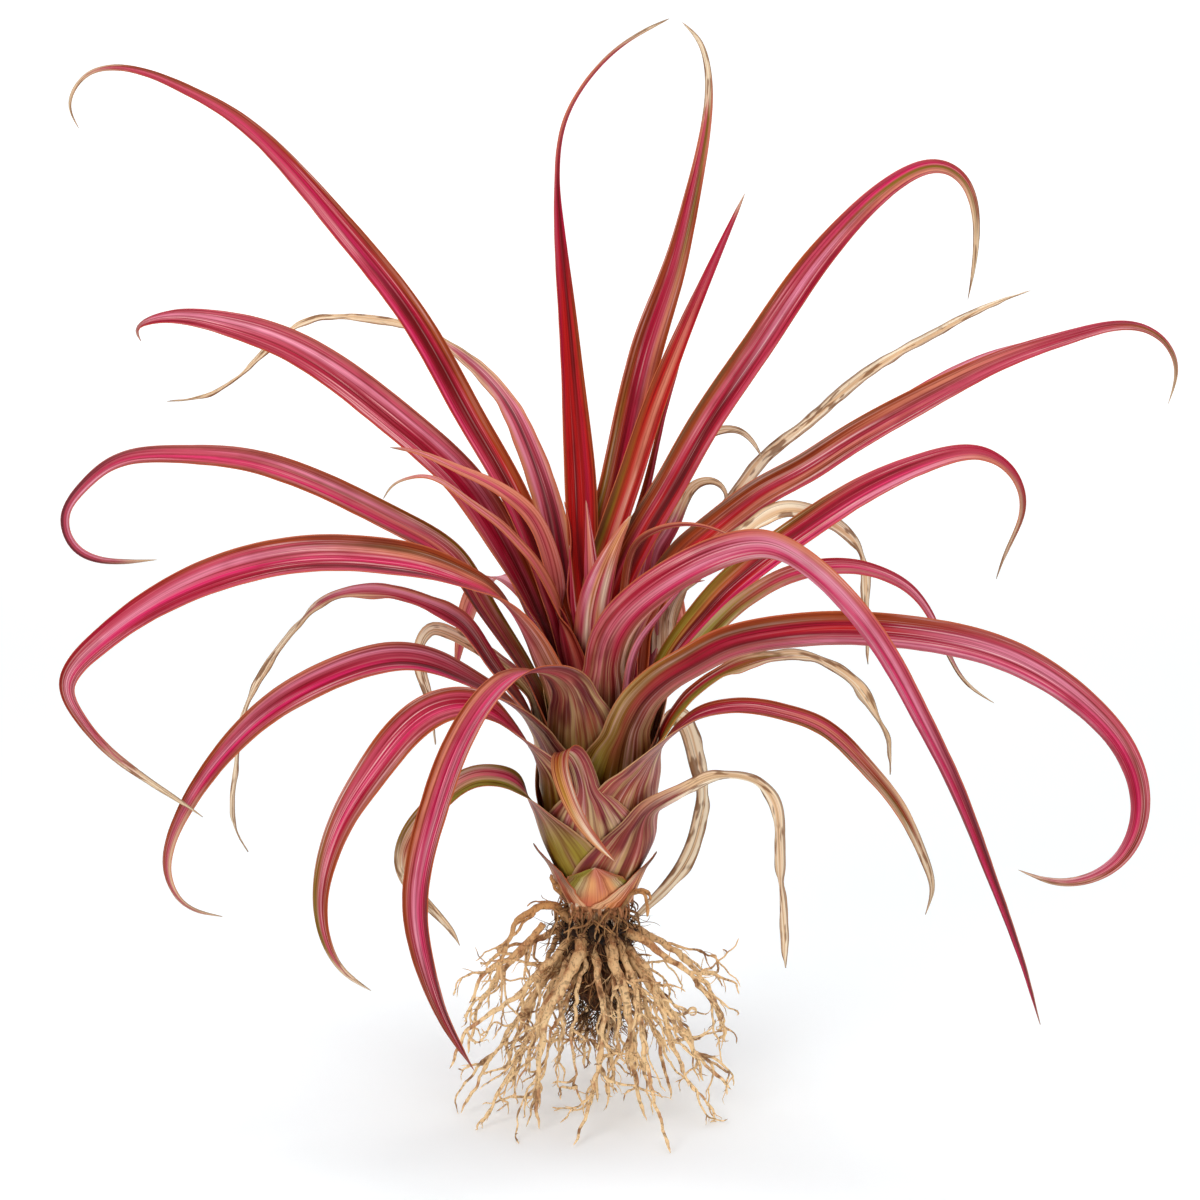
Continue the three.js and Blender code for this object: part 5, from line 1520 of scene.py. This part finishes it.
@dataclass
class Roots:
    """The root mass: thick roots on the solids' paths, their branches, rootlets and a dark core of painted shade."""

    thick: tuple[tuple[tuple[float, float, float], ...], ...] = THICK_ROOTS
    girths: tuple[float, ...] = (0.8, 0.95, 0.7, 0.8, 1.3, 0.75, 1.25, 0.7, 1.0, 0.75)
    start: float = 2.9
    end: float = 0.8
    branches: int = 6
    twigs: int = 2
    slender: int = 18
    strays: tuple[tuple[tuple[float, float, float], ...], ...] = STRAY_ROOTS
    tangle: int = 90
    fibres: int = 640
    floor: float = 0.4
    spread: float = 80.0
    wander_lengths: tuple[float, float] = (26.0, 8.5)
    swell_length: float = 17.0
    knob_length: float = 1.1
    taper: float = 1.25
    core_rows: int = 60
    core_sides: int = 48
    core_heights: tuple[float, float] = (114, 56)

    def rooted(
        self,
        points: np.ndarray,
        radii: tuple[float, float],
        step: float,
        kink: float,
        draw: np.random.Generator,
        sides: int,
    ) -> tuple[Skin, np.ndarray]:
        """A root that wanders about its path, with nodes and knobs.

        Args:
            points: Its path.
            radii: Radius at its start and end.
            step: Space between places along it.
            kink: How far it wanders.
            draw: Source of its wandering.
            sides: Sides of its section.

        Returns:
            The root and the places along it.
        """
        shares, reach = paced(points, 200)
        count = max(5, int(reach[-1] / step))
        at = np.linspace(0, reach[-1], count + 1)
        places = spline(points, np.interp(at, reach, shares))
        broad, fine = self.wander_lengths
        ease = smoothstep(at, 0, 8.0) * kink
        for axis in range(3):
            places[:, axis] += ease * (waves(at, broad, draw) + 0.22 * waves(at, fine, draw))
        share = at / at[-1]
        swell = 1 + 0.08 * waves(at, self.swell_length, draw) + 0.02 * draw.uniform(-1, 1, len(at))
        for knob in draw.uniform(0.05, 1, max(1, int(at[-1] / 12))) * at[-1]:
            knobby = draw.uniform(0.1, 0.6) * min(1.0, 1.3 / radii[0])
            swell += knobby * np.exp(-(((at - knob) / self.knob_length) ** 2))
        radius = (radii[1] + (radii[0] - radii[1]) * (1 - share) ** self.taper) * swell
        radius *= np.sqrt(np.clip((1 - share) / 0.05, 0.03, 1))
        places[:, 2] = np.maximum(places[:, 2], self.floor + radius)
        return tube(places, radius, sides), places

    def sprout(self, host: np.ndarray, length: float, droop: float, draw: np.random.Generator) -> np.ndarray:
        """Path of a branch that leaves a root.

        Args:
            host: Places along the root.
            length: Length of the branch.
            droop: How steeply it falls.
            draw: Source of its heading.

        Returns:
            The path.
        """
        k = int(draw.uniform(0.12, 0.95) * (len(host) - 2))
        start = host[k]
        along = unit(host[k + 1] - host[k])
        outward = unit(np.array([start[0], start[1], 0.0]) + 1e-6)
        strayed = along * 0.9 + outward * draw.uniform(0.0, 0.5) + draw.normal(0, 0.42, 3)
        aim = unit(strayed - np.array([0, 0, droop]))
        points = [start]
        for _ in range(4):
            aim = unit(aim + draw.normal(0, 0.34, 3) - np.array([0, 0, 0.16 * droop]))
            nxt = points[-1] + aim * length / 4
            away = math.hypot(nxt[0], nxt[1])
            if away > self.spread:
                nxt[:2] *= self.spread / away
            nxt[2] = max(nxt[2], self.floor + 0.5)
            points.append(nxt)
        return np.array(points)

    def limbs(
        self, host: np.ndarray, number: int, length: tuple[float, float], draw: np.random.Generator
    ) -> list[Skin]:
        """Branches of a root, and the twigs on them.

        Args:
            host: Places along the root.
            number: How many branches.
            length: Their shortest and longest length.
            draw: Source of their sizes.

        Returns:
            The branches and twigs.
        """
        grown = []
        for _ in range(number):
            route = self.sprout(host, draw.uniform(*length), 0.35, draw)
            branch, limb = self.rooted(route, (draw.uniform(0.7, 1.25), 0.4), 1.6, 1.1, draw, 6)
            grown.append(branch)
            for _ in range(self.twigs):
                twig = self.sprout(limb, draw.uniform(4, 15), 0.3, draw)
                grown.append(self.rooted(twig, (draw.uniform(0.32, 0.55), 0.18), 1.9, 0.3, draw, 4)[0])
        return grown

    def grow(self) -> tuple[list[Skin], list[Skin], list[Skin]]:
        """Grows the thick roots, the slender ones between them, and their branches.

        Returns:
            The thick roots, the slender ones, and all that grows on both.
        """
        draw = seeded("roots")
        thick, slender, thin = [], [], []
        for path in self.thick:
            points = np.array(path, float)
            points[:, 2] = np.maximum(points[:, 2], 1.5)
            k = len(thick)
            girth = self.start * (self.girths[k] if k < len(self.girths) else draw.uniform(0.5, 0.9))
            skin, host = self.rooted(points, (girth, self.end), 1.4, 0.9, draw, 12)
            thick.append(skin)
            thin += self.limbs(host, self.branches, (20, 58), draw)
        for k in range(self.slender):
            heading = 360 * (k + draw.uniform(-0.4, 0.4)) / self.slender
            foot, knee = draw.uniform(16, 74), draw.uniform(0.3, 0.62)
            points = np.array([
                around(heading, draw.uniform(8, 17), draw.uniform(98, 111)),
                around(heading + draw.uniform(-8, 8), 12 + foot * knee * 0.5, draw.uniform(74, 90)),
                around(heading + draw.uniform(-14, 14), 8 + foot * (0.35 + knee * 0.5), draw.uniform(38, 58)),
                around(heading + draw.uniform(-18, 18), foot, draw.uniform(1.5, 20)),
            ])
            skin, host = self.rooted(points, (draw.uniform(1.2, 2.0), 0.5), 1.7, 1.6, draw, 7)
            slender.append(skin)
            thin += self.limbs(host, 3, (14, 40), draw)
        for path in self.strays:
            thin.append(self.rooted(np.array(path, float), (1.3, 0.8), 1.2, 0.8, draw, 8)[0])
        for _ in range(self.tangle):
            heading, aim = draw.uniform(0, 360), draw.uniform(-35, 35)
            start, out, drop = draw.uniform(108, 121), draw.uniform(3, 11), draw.uniform(4, 20)
            points = np.array([
                around(heading, 12.5, start),
                around(heading + aim * 0.3, 15 + out * 0.7, start - drop * 0.1),
                around(heading + aim * 0.7, 15 + out, start - drop * 0.5),
                around(heading + aim, 15 + out * draw.uniform(0.4, 1.5), start - drop),
            ])
            thin.append(self.rooted(points, (draw.uniform(0.45, 1.1), 0.35), 1.2, 0.9, draw, 5)[0])
        return thick, slender, thin

    def matted(self) -> list[Skin]:
        """Fine fibres that cross about the core.

        Returns:
            The fibres.
        """
        draw = seeded("fibres")
        fibres = []
        for _ in range(self.fibres):
            heading, z = draw.uniform(0, 2 * math.pi), draw.uniform(46, 114)
            out = draw.uniform(8, 19) * (0.6 + 0.4 * smoothstep(z, 46, 84))
            point = np.array([out * math.cos(heading), out * math.sin(heading), z])
            aim = unit(np.array([math.cos(heading), math.sin(heading), -0.8]) + draw.normal(0, 0.6, 3))
            points = [point]
            for _ in range(4):
                aim = unit(aim + draw.normal(0, 0.45, 3) + np.array([0, 0, -0.15]))
                points.append(points[-1] + aim * draw.uniform(3, 7))
            path = np.array(points)
            path[:, 2] = np.maximum(path[:, 2], 1.0)
            fibres.append(self.rooted(path, (draw.uniform(0.25, 0.5), 0.15), 2.2, 0.4, draw, 4)[0])
        return fibres

    def core(self) -> Skin:
        """The near-black lump between the roots: painted shade in the gaps among them.

        Returns:
            The lump.
        """
        draw = seeded("core")
        heights = np.linspace(*self.core_heights, self.core_rows)
        shares = np.linspace(0, 1, self.core_rows)
        radii = through(((0, 15), (0.2, 19), (0.5, 18), (0.78, 12), (1, 3)), shares)
        points = np.stack([shares * 0, shares * 0, heights], 1)
        skin = tube(points, radii, self.core_sides)
        spin = np.arctan2(skin.vertices[:, 1], skin.vertices[:, 0])
        height = skin.vertices[:, 2]
        lumps = waves(spin * 9 + height * 0.5, 6.0, draw) + waves(height + spin * 4, 7.0, draw)
        skin.vertices[:, :2] *= (1 + 0.13 * lumps + 0.05 * draw.uniform(-1, 1, len(lumps)))[:, None]
        return skin

    def build(self) -> list[bpy.types.Object]:
        """Builds the root mass in place of its solid.

        Returns:
            The pieces.
        """
        thick, slender, thin = self.grow()
        wood = Wood.ROOT.value.material("root_wood")
        pieces = [
            merged(thick).build("roots_thick", wood, "root"),
            merged(slender).build("roots_slender", wood, "root"),
            merged(thin).build("roots_branches", Wood.ROOTLET.value.material("rootlet_wood"), "root"),
            merged(self.matted()).build("roots_fibres", Wood.FIBRE.value.material("fibre_wood"), "root"),
            self.core().build("root_core", Wood.CORE.value.material("core_soil"), "root"),
        ]
        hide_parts("root_mass")
        return pieces


@dataclass
class Studio:
    """Pale floor that curves up into a backdrop, soft lights, and the camera at the photograph's angle."""

    distance: float = 1.7
    elevation: float = 10.0
    target: tuple[float, float, float] = (0.00165, 0.0, 0.290)
    lens: float = 92.73
    sensor: float = 36.0
    half_width: float = 9.0
    front: float = -6.0
    bend_start: float = 2.6
    bend_radius: float = 2.4
    bend_steps: int = 24
    wall_top: float = 8.0
    ambient: float = 0.22
    papers: tuple[tuple[float, ...], ...] = ((0.76, 0.79, 0.80, 1.0), (0.77, 0.80, 0.81, 1.0))
    near_glow: tuple[float, ...] = (0.25, 0.255, 0.26, 1.0)
    far_glow: tuple[float, ...] = (0.72, 0.72, 0.72, 1.0)
    lamps: tuple[tuple[str, tuple[float, float, float], float, float], ...] = (
        ("key", (-1.3, -2.3, 1.7), 1.5, 42.0),
        ("fill", (1.7, -2.2, 1.0), 1.8, 20.0),
        ("crown", (0.1, 0.1, 2.4), 1.2, 28.0),
    )

    def paper(self) -> bpy.types.Material:
        """Pale paper, which glows softly away from the plant so that the backdrop stays white.

        Returns:
            The material.
        """
        graph = Graph("sweep_paper")
        place = graph.node("ShaderNodeTexCoord", None, None, "Object")
        grain = graph.noise(place * 300, 2.0)
        side, behind, _ = graph.parts(place)
        front = graph.node("ShaderNodeMath", {"operation": "MINIMUM"}, {0: behind, 1: 0.0})
        far = graph.step(behind, 0.2, 4.0) + graph.step(graph.length(graph.vector(side, front, 0.0)), 1.4, 3.4)
        glow = graph.mix(far, self.near_glow, self.far_glow)
        sockets = {"Specular_IOR_Level": 0.0, "Emission_Color": glow, "Emission_Strength": 1.0}
        graph.finish(graph.mix(grain, *self.papers), 0.9 + grain * 0.05, grain, 0.00002, **sockets)
        return graph.owner

    def sweep(self) -> bpy.types.Object:
        """The floor and the backdrop in one sheet.

        Returns:
            The sheet.
        """
        profile = [(self.front, 0.0)]
        for k in range(self.bend_steps + 1):
            turn = math.pi / 2 * k / self.bend_steps
            rise = self.bend_radius - self.bend_radius * math.cos(turn)
            profile.append((self.bend_start + self.bend_radius * math.sin(turn), rise))
        profile.append((self.bend_start + self.bend_radius, self.wall_top))
        vertices = [(x, y, z) for y, z in profile for x in (-self.half_width, self.half_width)]
        faces = [(2 * k, 2 * k + 1, 2 * k + 3, 2 * k + 2) for k in range(len(profile) - 1)]
        mesh = bpy.data.meshes.new("sweep")
        mesh.from_pydata(vertices, [], faces)
        mesh.polygons.foreach_set("use_smooth", np.ones(len(faces), bool))
        mesh.materials.append(self.paper())
        sweep = bpy.data.objects.new("sweep", mesh)
        bpy.context.scene.collection.objects.link(sweep)
        return sweep

    def lamp(self, name: str, place: tuple[float, float, float], size: float, power: float) -> None:
        """A square soft lamp that faces the plant.

        Args:
            name: Name of the lamp.
            place: Where it stands, in metres.
            size: Its side, in metres.
            power: Its power, in watts.
        """
        light = bpy.data.lights.new(name, "AREA")
        light.size = size
        light.energy = power
        lamp = bpy.data.objects.new(name, light)
        lamp.location = place
        lamp.rotation_euler = (Vector(self.target) - Vector(place)).to_track_quat("-Z", "Y").to_euler()
        bpy.context.scene.collection.objects.link(lamp)

    def camera(self) -> None:
        """The camera, level with the photograph's horizon."""
        shot = bpy.data.cameras.new("camera")
        shot.lens, shot.sensor_width = self.lens, self.sensor
        camera = bpy.data.objects.new("camera", shot)
        turn = math.radians(self.elevation)
        x, y, z = self.target
        camera.location = (x, y - self.distance * math.cos(turn), z + self.distance * math.sin(turn))
        camera.rotation_euler = (math.radians(90 - self.elevation), 0.0, 0.0)
        bpy.context.scene.collection.objects.link(camera)
        bpy.context.scene.camera = camera

    def world(self) -> None:
        """The world: even and dim as light, white where it is seen beyond the floor."""
        graph = Graph("studio", world=True)
        seen = graph.node("ShaderNodeLightPath", None, None, "Is Camera Ray")
        sockets = {"Color": (1.0, 1.0, 1.0, 1.0), "Strength": self.ambient + seen * (1 - self.ambient)}
        graph.node("ShaderNodeOutputWorld", None, {"Surface": graph.node("ShaderNodeBackground", None, sockets)})
        bpy.context.scene.world = graph.owner

    def build(self) -> None:
        """Sets up the stage, the light and the camera."""
        self.sweep()
        self.world()
        for lamp in self.lamps:
            self.lamp(*lamp)
        bpy.context.scene.view_settings.view_transform = "Standard"
        bpy.context.scene.view_settings.look = "None"
        self.camera()


def main() -> None:
    """Builds the plant on its frame, then the studio."""
    logging.basicConfig(level=logging.INFO, format="%(message)s")
    pieces = []
    for assembly in (Stem(), Foliage(), BasalRing(), Roots()):
        pieces += assembly.build()
    Studio().build()
    total = 0
    for piece in pieces:
        count = sum(len(face.vertices) - 2 for face in piece.data.polygons)
        total += count
        LOG.info("%s: %d triangles", piece.name, count)
    LOG.info("%d pieces, %d triangles", len(pieces), total)


if __name__ == "__main__":
    main()
